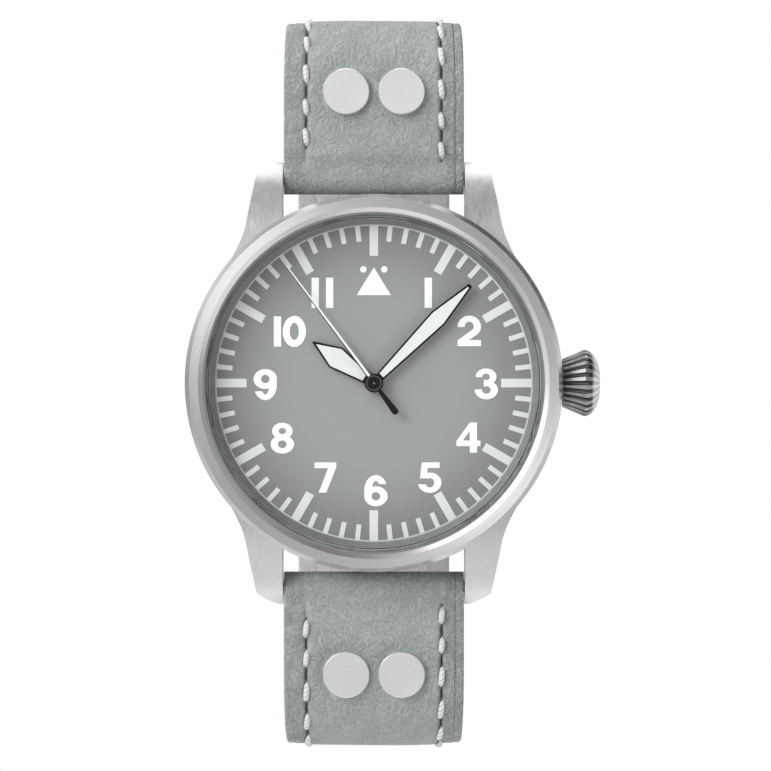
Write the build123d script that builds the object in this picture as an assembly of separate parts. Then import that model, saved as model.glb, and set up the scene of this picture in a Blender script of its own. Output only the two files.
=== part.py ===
from build123d import *
from math import asin, atan2, cos, degrees, hypot, radians, sin, sqrt
import os

# Pilot watch in millimetres. Origin: centre of the case back's outer face.
# +Z points out of the dial, +Y to twelve o'clock, +X to the crown.

overrun = 2.0
weld = 0.001

# Case
case_radius = 21.0
case_low = 0.5
case_high = 8.0
case_edge = 0.35
case_wall = 2.6
case_bore = case_radius - case_wall
case_ledge_width = 2.1
case_ledge_bore = case_bore - case_ledge_width
case_ledge_z = 2.4
seat_gap = 0.1
back_recess_step = 0.7
back_recess_radius = case_bore - back_recess_step
back_radius = back_recess_radius - seat_gap
back_flange = 1.0
back_ring_outer = case_ledge_bore - seat_gap
back_ring_wall = 1.0
back_ring_inner = back_ring_outer - back_ring_wall
back_ring_high = 2.0
back_wall = 1.2
notch_radius = 1.1
notch_depth = 0.45
notch_inset = 1.0
notch_count = 6
gasket_gap = 0.03
back_gasket_height = 0.5
back_gasket_width = 0.7
back_gasket_step = 0.25
back_gasket_inner = case_ledge_bore + back_gasket_step
back_gasket_outer = back_gasket_inner + back_gasket_width

# Lugs: plan and side points as shares of the case radius
lug_gap = 20.4
lug_tip_gap = 0.25
lug_root_shares = (0.62, 0.524)
lug_tip_y_share = 1.1833
lug_tip_bulge_shares = (0.5595, 1.162)
lug_tip_outer_shares = (0.626, 1.12)
lug_side_shares = ((0.646, 1.0143), (0.664, 0.924), (0.683, 0.824), (0.7215, 0.7214), (0.778, 0.619))
lug_top_shares = ((0.571, 0.376), (0.833, 0.35), (1.024, 0.2833), (1.165, 0.1714))
lug_nose_shares = ((1.188, 0.1238), (1.1857, 0.0714), (1.145, 0.0405))
lug_foot_shares = ((0.976, 0.0476), (0.571, 0.0429))

# Bezel, crystal, rehaut
bezel_inset = 0.05
bezel_radius = case_radius - bezel_inset
bezel_height = 2.0
bezel_high = case_high + bezel_height
bezel_rim_drop = 0.75
bezel_rim_width = 0.5
bezel_flat_outer = bezel_radius - bezel_rim_width
bezel_flat_width = 1.0
bezel_flat_inner = bezel_flat_outer - bezel_flat_width
bezel_chamfer_drop = 0.25
bezel_chamfer_width = 0.55
bezel_bore = bezel_flat_inner - bezel_chamfer_width
bezel_ledge_width = 0.45
bezel_ledge_bore = bezel_bore - bezel_ledge_width
bezel_ledge_rise = 0.9
bezel_ledge_z = case_high + bezel_ledge_rise
crystal_gasket_width = 0.2
crystal_radius = bezel_bore - crystal_gasket_width
crystal_edge_height = 1.2
crystal_dome_height = 0.65
crystal_edge_z = bezel_ledge_z + crystal_edge_height
crystal_top_z = crystal_edge_z + crystal_dome_height
crystal_gasket_height = 0.8
crystal_gasket_high = bezel_ledge_z + crystal_gasket_height
rehaut_outer = case_bore - seat_gap
rehaut_gap = 0.2
rehaut_slope_width = 0.58
rehaut_high_radius = bezel_ledge_bore - rehaut_gap
rehaut_low_radius = rehaut_high_radius - rehaut_slope_width

# Dial and markers
dial_gap = 0.15
dial_radius = case_bore - dial_gap
dial_low = 6.2
dial_high = 6.6
dial_hole = 0.82
marker_height = 0.06
marker_gap = 0.07
marker_outer = rehaut_low_radius - marker_gap
hour_baton = (3.42, 0.97)
minute_baton = (1.75, 0.55)
triangle_apex_y = 12.9
triangle_base_y = 9.8
triangle_width = 3.8
dot_radius = 0.36
dot_x = 1.17
dot_y = 12.67
numeral_height = 3.37
numeral_centre_shares = {
    1: (0.3326, 0.5512), 2: (0.5825, 0.3178), 3: (0.6871, -0.0055), 4: (0.5775, -0.3332),
    5: (0.3414, -0.577), 6: (0.0126, -0.6575), 7: (-0.2959, -0.577), 8: (-0.5589, -0.337),
    9: (-0.663, -0.0093), 10: (-0.5145, 0.3151), 11: (-0.314, 0.5512),
}

# Digit shapes as shares of the numeral height. Ovals are (x, y, half width, half height),
# each with its hole and the boxes (x, y, x, y) cut from it; bars and cuts are outlines.
zero_shares = [((0, 0, 0.385, 0.515), (0, 0, 0.147, 0.285), [])]
one_bar_shares = [((-0.122, -0.5), (0.122, -0.5), (0.122, 0.5), (-0.122, 0.5))]
two_gap_shares = [(-1, -1, 0.1, 0.13), (-1, -1, 1, -0.095)]
two_shares = [((0, 0.145, 0.388, 0.362), (0, 0.145, 0.146, 0.165), two_gap_shares)]
two_bar_shares = [
    ((0.296, -0.095), (-0.015, -0.3), (-0.015, -0.36), (-0.388, -0.36), (-0.388, -0.31), (0.118, 0.052)),
    ((-0.388, -0.5), (0.388, -0.5), (0.388, -0.3), (-0.388, -0.3)),
]
three_shares = [
    ((-0.01, 0.235, 0.345, 0.277), (-0.01, 0.235, 0.128, 0.107), [(-1, -0.18, -0.085, 0.225)]),
    ((0, -0.2, 0.385, 0.31), (0, -0.2, 0.144, 0.125), [(-1, -0.18, -0.085, 0.3)]),
]
four_bar_shares = [(
    (0.045, 0.5), (0.285, 0.5), (0.285, -0.095), (0.4, -0.095), (0.4, -0.282), (0.285, -0.282),
    (0.285, -0.5), (0.045, -0.5), (0.045, -0.282), (-0.4, -0.282), (-0.4, -0.12),
)]
four_cut_shares = [((0.045, 0.22), (0.045, -0.095), (-0.185, -0.095))]
five_shares = [((0, -0.172, 0.388, 0.335), (0, -0.172, 0.144, 0.155), [(-1, -0.225, -0.1, 1)])]
five_bar_shares = [
    ((-0.25, 0.315), (0.325, 0.315), (0.325, 0.5), (-0.25, 0.5)),
    ((-0.26, 0.5), (-0.05, 0.5), (-0.08, 0.16), (-0.1, -0.03), (-0.325, -0.03)),
]
six_shares = [
    ((0, 0, 0.388, 0.515), (0, -0.09, 0.147, 0.416), [(0, -1, 1, 0.22), (-1, -1, 0, -0.18)]),
    ((0, -0.184, 0.388, 0.331), (0, -0.184, 0.14, 0.137), []),
]
seven_bar_shares = [
    ((-0.36, 0.31), (0.36, 0.31), (0.36, 0.5), (-0.36, 0.5)),
    ((0.36, 0.5), (0.36, 0.33), (0.03, -0.5), (-0.225, -0.5), (0.1, 0.33)),
]
eight_shares = [
    ((0, 0.237, 0.34, 0.275), (0, 0.237, 0.122, 0.1), []),
    ((0, -0.2, 0.388, 0.31), (0, -0.2, 0.144, 0.125), []),
]
ten_offset_shares = (-0.402, 0.157)
eleven_offset_shares = (-0.239, 0.239)

# Hands, angles in degrees clockwise from twelve
hour_angle = 303.9
minute_angle = 44.7
seconds_angle = 323.2
hub_radius = 1.05
hand_thickness = 0.2
hour_hand_z = 7.0
minute_hand_z = 7.5
seconds_hand_z = 8.0
hour_length = 8.2
hour_wide_at = 5.1
hour_wide = 2.66
hour_waist = 0.95
hour_tip = 0.16
hour_lume_to = 7.72
hour_lume_tip = 0.04
minute_length = 15.3
minute_wide_at = 10.15
minute_wide = 2.08
minute_waist = 0.88
minute_tip = 0.5
minute_lume_to = 14.95
minute_lume_tip = 0.16
lume_from = 1.2
hand_frame = 0.2
seconds_length = 16.2
seconds_width = 0.42
seconds_tip_width = 0.2
seconds_tail = 4.3
seconds_tail_width = 0.76
seconds_tail_waist = 0.33
seconds_hub_radius = 0.94
seconds_thickness = 0.15

# Movement frame
movement_share = 0.609524
movement_radius = movement_share * case_radius
movement_gap = 0.1
plate_low = 4.4
plate_high = 6.18
bridge_low = 2.4
bridge_high = 2.9
bridge_wall = 0.5
bridge_split_y = 1.4
bridge_joint_gap = 0.1
pocket_gap = 0.15
pivot_gap = 0.03
pivot_radius = 0.12
pivot_foot_z = 2.5
pivot_top_z = 4.8
ring_inner = movement_radius + movement_gap
ring_outer = case_bore - seat_gap
ring_high = 6.15

# Going train: teeth and modules
barrel_teeth = 72
center_pinion_teeth = 12
barrel_module_share = 0.012109
barrel_module = barrel_module_share * movement_radius
center_teeth = 60
third_pinion_teeth = 8
center_module_share = 0.014062
center_module = center_module_share * movement_radius
third_teeth = 64
fourth_pinion_teeth = 8
third_module_share = 0.013281
third_module = third_module_share * movement_radius
fourth_teeth = 80
escape_pinion_teeth = 8
fourth_module_share = 0.011328
fourth_module = fourth_module_share * movement_radius
escape_teeth = 15
escape_share = 0.171875
escape_radius = escape_share * movement_radius
escape_root_share = 0.128906
escape_root_radius = escape_root_share * movement_radius
motion_module = 0.125
cannon_teeth = 12
minute_wheel_teeth = 36
hour_module = 0.12
minute_pinion_teeth = 10
hour_wheel_teeth = 40
winding_module_share = 0.015625
winding_module = winding_module_share * movement_radius
ratchet_teeth = 42
crown_wheel_teeth = 32
barrel_angle = 70.0
third_angle = 290.0
escape_angle = 205.0
minute_wheel_angle = 180.0

# Tooth form: shares of the pitch angle and of the module
tooth_root_share = 0.44
tooth_tip_share = 0.22
tooth_rise_share = 0.75
tooth_fall_share = 1.25
spoke_hole_share = 0.22
escape_tooth_shares = ((False, 0), (True, 0.28), (True, 0.38), (False, 0.5))
spoke_circle_share = 0.62
spoke_count = 5

# Levels of the wheels, low and high
fourth_wheel_z = (3.1, 3.25)
fourth_pinion_z = (3.4, 3.65)
escape_pinion_z = (3.05, 3.35)
escape_wheel_z = (3.45, 3.6)
third_wheel_z = (3.45, 3.6)
third_pinion_z = (3.75, 4.0)
center_wheel_z = (3.8, 3.95)
center_pinion_z = (4.08, 4.35)
barrel_teeth_z = (4.1, 4.33)
barrel_drum_z = (4.1, 5.35)
barrel_drum_share = 0.40625
barrel_drum_radius = barrel_drum_share * movement_radius
barrel_wall = 0.3
barrel_arbor_radius = 0.45
barrel_core_radius = 1.2
barrel_arbor_high = 5.9
barrel_pocket_high = 5.4
mainspring_thickness = 0.12
mainspring_turns = 7
center_arbor_radius = 0.5
seconds_bore = 0.18
motion_floor = 5.52
cannon_z = (5.56, 5.76)
cannon_radius = 0.42
minute_wheel_z = (5.58, 5.73)
minute_pinion_z = (5.73, 6.08)
minute_post_radius = 0.3
minute_post_bore = 0.33
hour_wheel_z = (5.88, 6.04)
hour_tube_inner = 0.48
hour_tube_outer = 0.72
arbor_radius = 0.2
winding_z = (2.42, 2.66)
winding_pocket_high = 2.7
crown_wheel_post = 0.55
crown_wheel_bore = 0.6
wheel_pocket_gap = 0.15

# Balance, hairspring and pallet fork
balance_x_share = -0.335938
balance_x = balance_x_share * movement_radius
balance_y_share = -0.632812
balance_y = balance_y_share * movement_radius
balance_share = 0.234375
balance_radius = balance_share * movement_radius
balance_rim = 0.4
balance_z = (2.95, 3.2)
balance_arm = 0.35
staff_radius = 0.12
roller_radius = 0.42
roller_z = (3.25, 3.38)
cock_high = 2.65
hairspring_z = (2.72, 2.88)
hairspring_outer = 1.6
hairspring_inner = 0.32
hairspring_turns = 6
hairspring_thickness = 0.05
collet_radius = 0.25
stud_radius = 0.12
cock_foot_shares = (-0.75, -0.4609)
cock_foot = tuple(share * movement_radius for share in cock_foot_shares)
cock_foot_radius = 1.35
cock_head_radius = 1.75
balance_clearance = 0.3
balance_pocket = balance_radius + balance_clearance
fork_share = 0.56
fork_half_width = 0.15
fork_arm_share = 0.14375
fork_horn_share = 0.164062
fork_arm_to = -fork_arm_share * movement_radius
fork_horn_to = -fork_horn_share * movement_radius
fork_horn_half = 0.36
fork_anchor_half = 1.62
fork_stone_width = 0.24
fork_stone_from = 0.25
fork_stone_to = 1.25

# Rotor
rotor_z = (1.75, 2.1)
rotor_rim_z = (1.5, 2.25)
rotor_share = 0.921875
rotor_radius = rotor_share * movement_radius
rotor_rim_width = 2.4
rotor_rim_inner = rotor_radius - rotor_rim_width
rotor_hub = 2.2
rotor_bore = 1.05
bearing_radius = 1.0
bearing_low = 1.4
bearing_head_high = 1.68
bearing_head_radius = 1.6
bearing_foot_low = 2.2

# Clamps and screws
clamp_clearance = 0.25
clamp_inner = rotor_radius + clamp_clearance
clamp_screw_step = 1.1
clamp_screw_reach = movement_radius + clamp_screw_step
clamp_end = 0.9
clamp_outer = clamp_screw_reach + clamp_end
clamp_width = 2.2
clamp_low = 2.1
clamp_angles = (25.0, 145.0, 265.0)
screw_head_radius = 0.6
screw_head_height = 0.3
screw_shank_radius = 0.3
screw_shank_length = 1.2
screw_slot_width = 0.16
screw_slot_depth = 0.14
screw_head_z = (2.42, 2.64)
bridge_screw_high = 4.9
pillar_radius = 0.7
barrel_bridge_shares = ((-0.7188, 0.3594), (-0.4062, 0.7344), (0.75, 0.4844))
train_bridge_shares = ((0.7344, -0.4375), (-0.8281, -0.0938), (-0.0703, -0.8984))
barrel_bridge_spots = tuple((x * movement_radius, y * movement_radius) for x, y in barrel_bridge_shares)
train_bridge_spots = tuple((x * movement_radius, y * movement_radius) for x, y in train_bridge_shares)

# Crown and stem
stem_z = 5.0
stem_radius = 0.5
stem_pilot_radius = 0.3
stem_inner_share = 0.539062
stem_shoulder_share = 0.691406
stem_inner_x = stem_inner_share * movement_radius
stem_shoulder_x = stem_shoulder_share * movement_radius
stem_outer_step = 2.4
stem_outer_x = case_radius + stem_outer_step
stem_channel = 0.7
tube_outer = 1.4
tube_inner = 0.65
tube_outer_step = 1.4
tube_inner_x = case_bore
tube_outer_x = case_radius + tube_outer_step
crown_gap = 0.1
crown_length = 4.1
crown_inner_x = case_radius + crown_gap
crown_outer_x = crown_inner_x + crown_length
crown_base_radius = 2.7
crown_max_radius = 3.72
crown_dome_shares = ((0.585, 1.0), (0.77, 0.92), (0.915, 0.71), (1.0, 0.42))
crown_groove_count = 24
crown_groove_radius = 0.26
crown_groove_rise = 0.05
crown_recess_radius = 1.95
crown_recess_depth = 1.8
crown_recess_x = crown_inner_x + crown_recess_depth
crown_gasket_step = 0.4
crown_gasket_length = 0.6
crown_gasket_low = crown_inner_x + crown_gasket_step
crown_gasket_high = crown_gasket_low + crown_gasket_length
crown_pull = 1.6
winding_pinion_radius = 1.05
winding_pinion_gap = 0.1
winding_pinion_length = 0.75
winding_pinion_x = stem_shoulder_x + winding_pinion_gap
sliding_pinion_radius = 0.95
sliding_pinion_gap = 0.1
sliding_pinion_length = 1.0
sliding_pinion_x = winding_pinion_x + winding_pinion_length + sliding_pinion_gap
stem_slot_gap = 0.05
stem_slot_x = stem_shoulder_x - stem_slot_gap
stem_slot_half = 1.2
pinion_notch = 0.18
pinion_notch_count = 10
lever_gap = 0.1
lever_thickness = 0.2
lever_x = sliding_pinion_x + sliding_pinion_length + lever_gap
lever_low = 3.3
lever_high = 5.9
lever_half = 0.9

# Strap loop, in the plane seen from the crown side: y along, z up
strap_side_gap = 0.1
strap_half_width = lug_gap / 2 - strap_side_gap
strap_taper_drop = 0.9
strap_tail_half_width = strap_half_width - strap_taper_drop
taper_top_z = -2.0
taper_low_z = -28.0
bar_y_share = 1.092857
bar_y = bar_y_share * case_radius
bar_z = 2.9
spring_bar_radius = 0.75
spring_tip_radius = 0.45
spring_bar_gap = 0.05
spring_bar_half = lug_gap / 2 - spring_bar_gap
spring_tip_reach = 1.0
bar_bore = 0.8
fold_radius = 1.78
pad_step = 2.65
pad_from_y = bar_y + pad_step
pad_ramp = 1.2
lug_end_thickness = 3.5
pad_thickness = 4.5
corner_step = 9.05
corner_y = bar_y + corner_step
corner_radius = 7.5
corner_thickness = 3.9
bottom_radius = 20.0
short_thickness = 2.6
tail_thickness = 2.2
lining_thickness = 0.8
layer_gap = 0.02
short_mid_z = -32.2
tail_mid_z = -34.7
long_mid_z = -33.4
bottom_bend_y = corner_y + corner_radius - bottom_radius
heel_y = 2.0
heel_fold_radius = 1.3
heel_bar_radius = 0.6
heel_bore = 0.65
step_from_y = -6.5
step_to_y = -0.5
tail_bend_angle = 28.0
tail_tip_y = 30.1
hole_radius = 1.0
hole_ys = (-16.0, -9.7, 3.4, 9.9, 16.4)

# Rivets
rivet_step = 0.6
rivet_y = corner_y + rivet_step
rivet_x = 3.1
rivet_radius = 2.6
rivet_proud = 0.5
rivet_sunk = 0.55
rivet_tilt = 5.0
rivet_edge = 0.08
rivet_shank = 0.8
rivet_back_radius = 2.0
rivet_back_height = 0.4
rivet_back_drop = 0.15
fit_gap = 0.03

# Buckle and keepers
table_z = -37.0
front_bar_y = -8.0
front_bar_radius = 1.1
frame_side_gap = 0.25
frame_side_width = 1.5
frame_inner_x = strap_tail_half_width + frame_side_gap
frame_outer_x = frame_inner_x + frame_side_width
frame_heel_radius = 1.35
tongue_width = 1.8
tongue_thickness = 0.9
tongue_eye_radius = 1.15
tongue_slot_half = 1.0
tongue_slot_length = 1.9
tongue_knee = (-8.4, -4.05)
tongue_tip = (-11.2, -4.3)
tongue_play_angle = 4.0
tongue_gap = 0.08
keeper_wall = 1.0
keeper_gap = 0.1
keeper_side_gap = 0.15
keeper_side_wall = 1.1
keeper_half_inner = strap_tail_half_width + keeper_side_gap
keeper_half_outer = keeper_half_inner + keeper_side_wall
fixed_keeper_y = (5.4, 9.4)
free_keeper_y = (12.4, 16.8)


# Helpers

def disc(radius, low, high, x=0, y=0):
    """An upright cylinder between two heights."""
    return Pos(x, y, (low + high) / 2) * Cylinder(radius, high - low)


def ring(outer, inner, low, high, x=0, y=0):
    """An upright tube between two heights."""
    return disc(outer, low, high, x, y) - disc(inner, low - overrun, high + overrun, x, y)


def block(x_from, x_to, y_from, y_to, low, high):
    """A box between six planes."""
    middle = Pos((x_from + x_to) / 2, (y_from + y_to) / 2, (low + high) / 2)
    return middle * Box(x_to - x_from, y_to - y_from, high - low)


def rod(radius, x_from, x_to, y=0, z=0):
    """A cylinder along X."""
    return Pos((x_from + x_to) / 2, y, z) * Rot(0, 90, 0) * Cylinder(radius, x_to - x_from)


def slab(points, low, high):
    """A plan outline of straight edges, extruded between two heights."""
    face = make_face(Polyline(*points, close=True))
    return Pos(0, 0, low) * extrude(face, amount=high - low, dir=(0, 0, 1))


def turned(points):
    """An outline (radius, z) turned about Z."""
    face = Plane.XZ * make_face(Polyline(*points, close=True))
    return revolve(face, Axis.Z, 360)


def turned_about_stem(points):
    """An outline (x, radius) turned about the stem's axis."""
    face = Plane.XZ * make_face(Polyline(*points, close=True))
    return Pos(0, 0, stem_z) * revolve(face, Axis.X, 360)


def polar(radius, angle):
    """Plan position at an angle in degrees, anticlockwise from +X."""
    return radius * cos(radians(angle)), radius * sin(radians(angle))


def clock(shape, angle):
    """Turns a shape drawn at twelve o'clock by an angle clockwise."""
    return Rot(0, 0, -angle) * shape


def mirrored_corners(shape):
    """Four copies, mirrored left to right and top to bottom."""
    right = shape + mirror(shape, Plane.XZ)
    return right + mirror(right, Plane.YZ)


# Case

def make_lug():
    def spots(shares):
        return [(x * case_radius, y * case_radius) for x, y in shares]

    tip_y = lug_tip_y_share * case_radius
    inner_x = lug_gap / 2
    root, bulge, outer = spots((lug_root_shares, lug_tip_bulge_shares, lug_tip_outer_shares))
    side_line = spots(lug_side_shares)
    plan_edges = [
        Line((inner_x, root[1]), (inner_x, tip_y)),
        Line((inner_x, tip_y), (inner_x + lug_tip_gap, tip_y)),
        ThreePointArc((inner_x + lug_tip_gap, tip_y), bulge, outer),
        Spline(outer, *side_line),
        Line(side_line[-1], root),
        Line(root, (inner_x, root[1])),
    ]
    plan = extrude(make_face(plan_edges), amount=case_high + overrun, dir=(0, 0, 1))
    top, nose, foot = spots(lug_top_shares), spots(lug_nose_shares), spots(lug_foot_shares)
    side_edges = [
        Spline(*top),
        Spline(top[-1], *nose),
        Line(nose[-1], foot[0]),
        Line(foot[0], foot[1]),
        Line(foot[1], top[0]),
    ]
    side_face = Plane.YZ * make_face(side_edges)
    side = extrude(side_face, amount=case_radius, dir=(1, 0, 0))
    return plan & side


def make_case_middle():
    body = turned([
        (0, case_low), (case_radius - case_edge, case_low), (case_radius, case_low + case_edge),
        (case_radius, case_high - case_edge), (case_radius - case_edge, case_high), (0, case_high),
    ])
    body += mirrored_corners(make_lug())
    body -= disc(case_bore, case_ledge_z, case_high + overrun)
    body -= disc(case_ledge_bore, case_low - overrun, case_ledge_z + overrun)
    body -= disc(back_recess_radius, case_low - overrun, back_flange)
    groove = (back_gasket_outer + gasket_gap, back_gasket_inner - gasket_gap)
    body -= ring(groove[0], groove[1], back_flange - gasket_gap, back_flange + back_gasket_height)
    for sign in (1, -1):
        reach = spring_bar_half + spring_tip_reach + fit_gap
        body -= rod(spring_tip_radius + fit_gap, -reach, reach, sign * bar_y, bar_z)
    return body - rod(tube_outer, tube_inner_x - overrun, case_radius + overrun, 0, stem_z)


def make_case_back():
    body = turned([
        (0, 0), (back_radius - case_edge, 0), (back_radius, case_edge), (back_radius, back_flange),
        (back_ring_outer, back_flange), (back_ring_outer, back_ring_high),
        (back_ring_inner, back_ring_high), (back_ring_inner, back_wall), (0, back_wall),
    ])
    for number in range(notch_count):
        x, y = polar(back_radius - notch_inset, 360 / notch_count * (number + 0.5))
        body -= disc(notch_radius, -overrun, notch_depth, x, y)
    return body


def make_bezel():
    return turned([
        (bezel_ledge_bore, case_high), (bezel_radius, case_high), (bezel_radius, bezel_high - bezel_rim_drop),
        (bezel_flat_outer, bezel_high), (bezel_flat_inner, bezel_high), (bezel_bore, bezel_high - bezel_chamfer_drop),
        (bezel_bore, bezel_ledge_z), (bezel_ledge_bore, bezel_ledge_z),
    ])


def make_crystal():
    """A flat disc with a shallow spherical dome."""
    rise = crystal_top_z - crystal_edge_z
    dome_radius = (crystal_radius ** 2 + rise ** 2) / (2 * rise)
    body = disc(crystal_radius, bezel_ledge_z, crystal_top_z)
    return body & Pos(0, 0, crystal_top_z - dome_radius) * Sphere(dome_radius)


def make_rehaut():
    return turned([
        (rehaut_low_radius, dial_high), (rehaut_outer, dial_high), (rehaut_outer, bezel_ledge_z),
        (rehaut_high_radius, bezel_ledge_z),
    ])


# Dial

def make_batons():
    pieces = []
    top = dial_high + marker_height
    for minute in range(60):
        length, width = minute_baton if minute % 5 else hour_baton
        baton = block(-width / 2, width / 2, marker_outer - length, marker_outer, dial_high, top)
        pieces.append(clock(baton, minute * 6))
    return Compound(children=pieces)


def oval(shares):
    """A filled ellipse given in shares of the numeral height."""
    x, y, half_width, half_height = (share * numeral_height for share in shares)
    return Pos(x, y) * Ellipse(half_width, half_height)


def share_outline(shares):
    """A straight-edged outline given in shares of the numeral height."""
    return make_face(Polyline(*((x * numeral_height, y * numeral_height) for x, y in shares), close=True))


def share_box(shares):
    """A rectangle between two corners given in shares of the numeral height."""
    x_from, y_from, x_to, y_to = shares
    return share_outline(((x_from, y_from), (x_to, y_from), (x_to, y_to), (x_from, y_to)))


def digit(ovals=(), bars=(), cuts=()):
    """One digit drawn about its own centre."""
    pieces = []
    for outside, hole, gaps in ovals:
        piece = oval(outside) - oval(hole)
        for gap in gaps:
            piece = piece - share_box(gap)
        pieces.append(piece)
    pieces += [share_outline(bar) for bar in bars]
    shape = pieces[0]
    for piece in pieces[1:]:
        shape = shape + piece
    for cut in cuts:
        shape = shape - share_outline(cut)
    return shape


def make_numerals():
    one = digit(bars=one_bar_shares)
    zero = digit(zero_shares)
    six = digit(six_shares)
    shapes = {
        1: [one], 2: [digit(two_shares, two_bar_shares)], 3: [digit(three_shares)],
        4: [digit(bars=four_bar_shares, cuts=four_cut_shares)],
        5: [digit(five_shares, five_bar_shares)], 6: [six],
        7: [digit(bars=seven_bar_shares)], 8: [digit(eight_shares)], 9: [Rot(0, 0, 180) * six],
    }
    ten = zip(ten_offset_shares, (one, zero))
    shapes[10] = [Pos(share * numeral_height, 0) * shape for share, shape in ten]
    shapes[11] = [Pos(share * numeral_height, 0) * one for share in eleven_offset_shares]
    pieces = []
    for number, (x_share, y_share) in numeral_centre_shares.items():
        x, y = x_share * dial_radius, y_share * dial_radius
        for shape in shapes[number]:
            pieces.append(Pos(x, y, dial_high) * extrude(shape, amount=marker_height, dir=(0, 0, 1)))
    top = dial_high + marker_height
    half = triangle_width / 2
    triangle = [(-half, triangle_base_y), (half, triangle_base_y), (0, triangle_apex_y)]
    pieces.append(slab(triangle, dial_high, top))
    pieces.append(disc(dot_radius, dial_high, top, -dot_x, dot_y))
    pieces.append(disc(dot_radius, dial_high, top, dot_x, dot_y))
    solids = [solid for piece in pieces for solid in piece.solids()]
    return Compound(children=solids)


# Hands

def hand_outline(waist, wide, wide_at, tip, length):
    """A lozenge hand seen from above, pointing to twelve."""
    return [
        (-waist / 2, 0), (-wide / 2, wide_at), (-tip / 2, length),
        (tip / 2, length), (wide / 2, wide_at), (waist / 2, 0),
    ]


def lume_outline(waist, wide, wide_at, lume_tip, lume_to):
    """The window of a lozenge hand, a frame's width inside its outline."""
    start = waist / 2 + (wide - waist) / 2 * lume_from / wide_at - hand_frame
    side = wide / 2 - hand_frame
    return [
        (-start, lume_from), (-side, wide_at), (-lume_tip / 2, lume_to),
        (lume_tip / 2, lume_to), (side, wide_at), (start, lume_from),
    ]


def make_hand(outline, window, low, tube_radius, angle):
    high = low + hand_thickness
    shape = slab(outline, low, high) + disc(hub_radius, low, high)
    shape -= slab(window, low - overrun, high + overrun)
    shape -= disc(tube_radius, low - overrun, high + overrun)
    return clock(shape, angle)


def make_seconds_needle():
    low, high = seconds_hand_z, seconds_hand_z + seconds_thickness
    wide, tip = seconds_width / 2, seconds_tip_width / 2
    shape = slab([(-wide, 0), (-tip, seconds_length), (tip, seconds_length), (wide, 0)], low, high)
    return clock(shape - disc(seconds_hub_radius, low - overrun, high + overrun), seconds_angle)


def make_seconds_hub():
    low, high = seconds_hand_z, seconds_hand_z + seconds_thickness
    waist, wide = seconds_tail_waist / 2, seconds_tail_width / 2
    end = -(seconds_tail - wide)
    shape = slab([(-waist, 0), (-wide, end), (wide, end), (waist, 0)], low, high)
    shape += disc(wide, low, high, 0, end)
    shape += disc(seconds_hub_radius, low, high)
    return clock(shape - disc(pivot_radius, low - overrun, high + overrun), seconds_angle)


# Movement

def gear(teeth, module, levels, turn, x=0, y=0):
    """A gear of straight-sided teeth with the middle of one tooth at an angle."""
    pitch = 360 / teeth
    root = module * (teeth / 2 - tooth_fall_share)
    tip = module * (teeth / 2 + tooth_rise_share)
    corners = (
        (root, -tooth_root_share / 2), (tip, -tooth_tip_share / 2),
        (tip, tooth_tip_share / 2), (root, tooth_root_share / 2),
    )
    points = [
        polar(radius, turn + (number + share) * pitch)
        for number in range(teeth) for radius, share in corners
    ]
    return Pos(x, y, 0) * slab(points, *levels)


def crossed(wheel, teeth, module, levels, x=0, y=0):
    """A wheel lightened by a ring of round windows."""
    reach = module * teeth / 2
    for number in range(spoke_count):
        dx, dy = polar(reach * spoke_circle_share, 360 / spoke_count * number)
        wheel -= disc(reach * spoke_hole_share, levels[0] - overrun, levels[1] + overrun, x + dx, y + dy)
    return wheel


def spacing(teeth_one, teeth_two, module):
    return module * (teeth_one + teeth_two) / 2


barrel_x, barrel_y = polar(spacing(barrel_teeth, center_pinion_teeth, barrel_module), barrel_angle)
third_x, third_y = polar(spacing(center_teeth, third_pinion_teeth, center_module), third_angle)
escape_x, escape_y = polar(spacing(fourth_teeth, escape_pinion_teeth, fourth_module), escape_angle)
minute_x, minute_y = polar(spacing(cannon_teeth, minute_wheel_teeth, motion_module), minute_wheel_angle)
winding_distance = spacing(ratchet_teeth, crown_wheel_teeth, winding_module)
crown_wheel_x = barrel_x + sqrt(winding_distance ** 2 - barrel_y ** 2)
crown_wheel_angle = degrees(atan2(-barrel_y, crown_wheel_x - barrel_x))
fork_x = escape_x + (balance_x - escape_x) * fork_share
fork_y = escape_y + (balance_y - escape_y) * fork_share
fork_turn = degrees(atan2(escape_y - balance_y, escape_x - balance_x)) - 90


def spiral(inner, outer, turns, thickness, levels, x, y):
    """A flat spring: radius grows evenly with the angle."""
    steps = turns * 12
    def edge(shift):
        return [
            polar(inner + (outer - inner) * step / steps + shift, 360 * turns * step / steps)
            for step in range(steps + 1)
        ]
    outline = edge(thickness / 2) + edge(-thickness / 2)[::-1]
    return Pos(x, y, 0) * slab(outline, *levels)


def arbor(x, y, low, high):
    """A pivot with a thicker arbor between two heights."""
    return disc(pivot_radius, pivot_foot_z, pivot_top_z, x, y) + disc(arbor_radius, low, high, x, y)


def pivot_hole(x, y, low, high):
    return disc(pivot_radius + pivot_gap, low, high, x, y)


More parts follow.
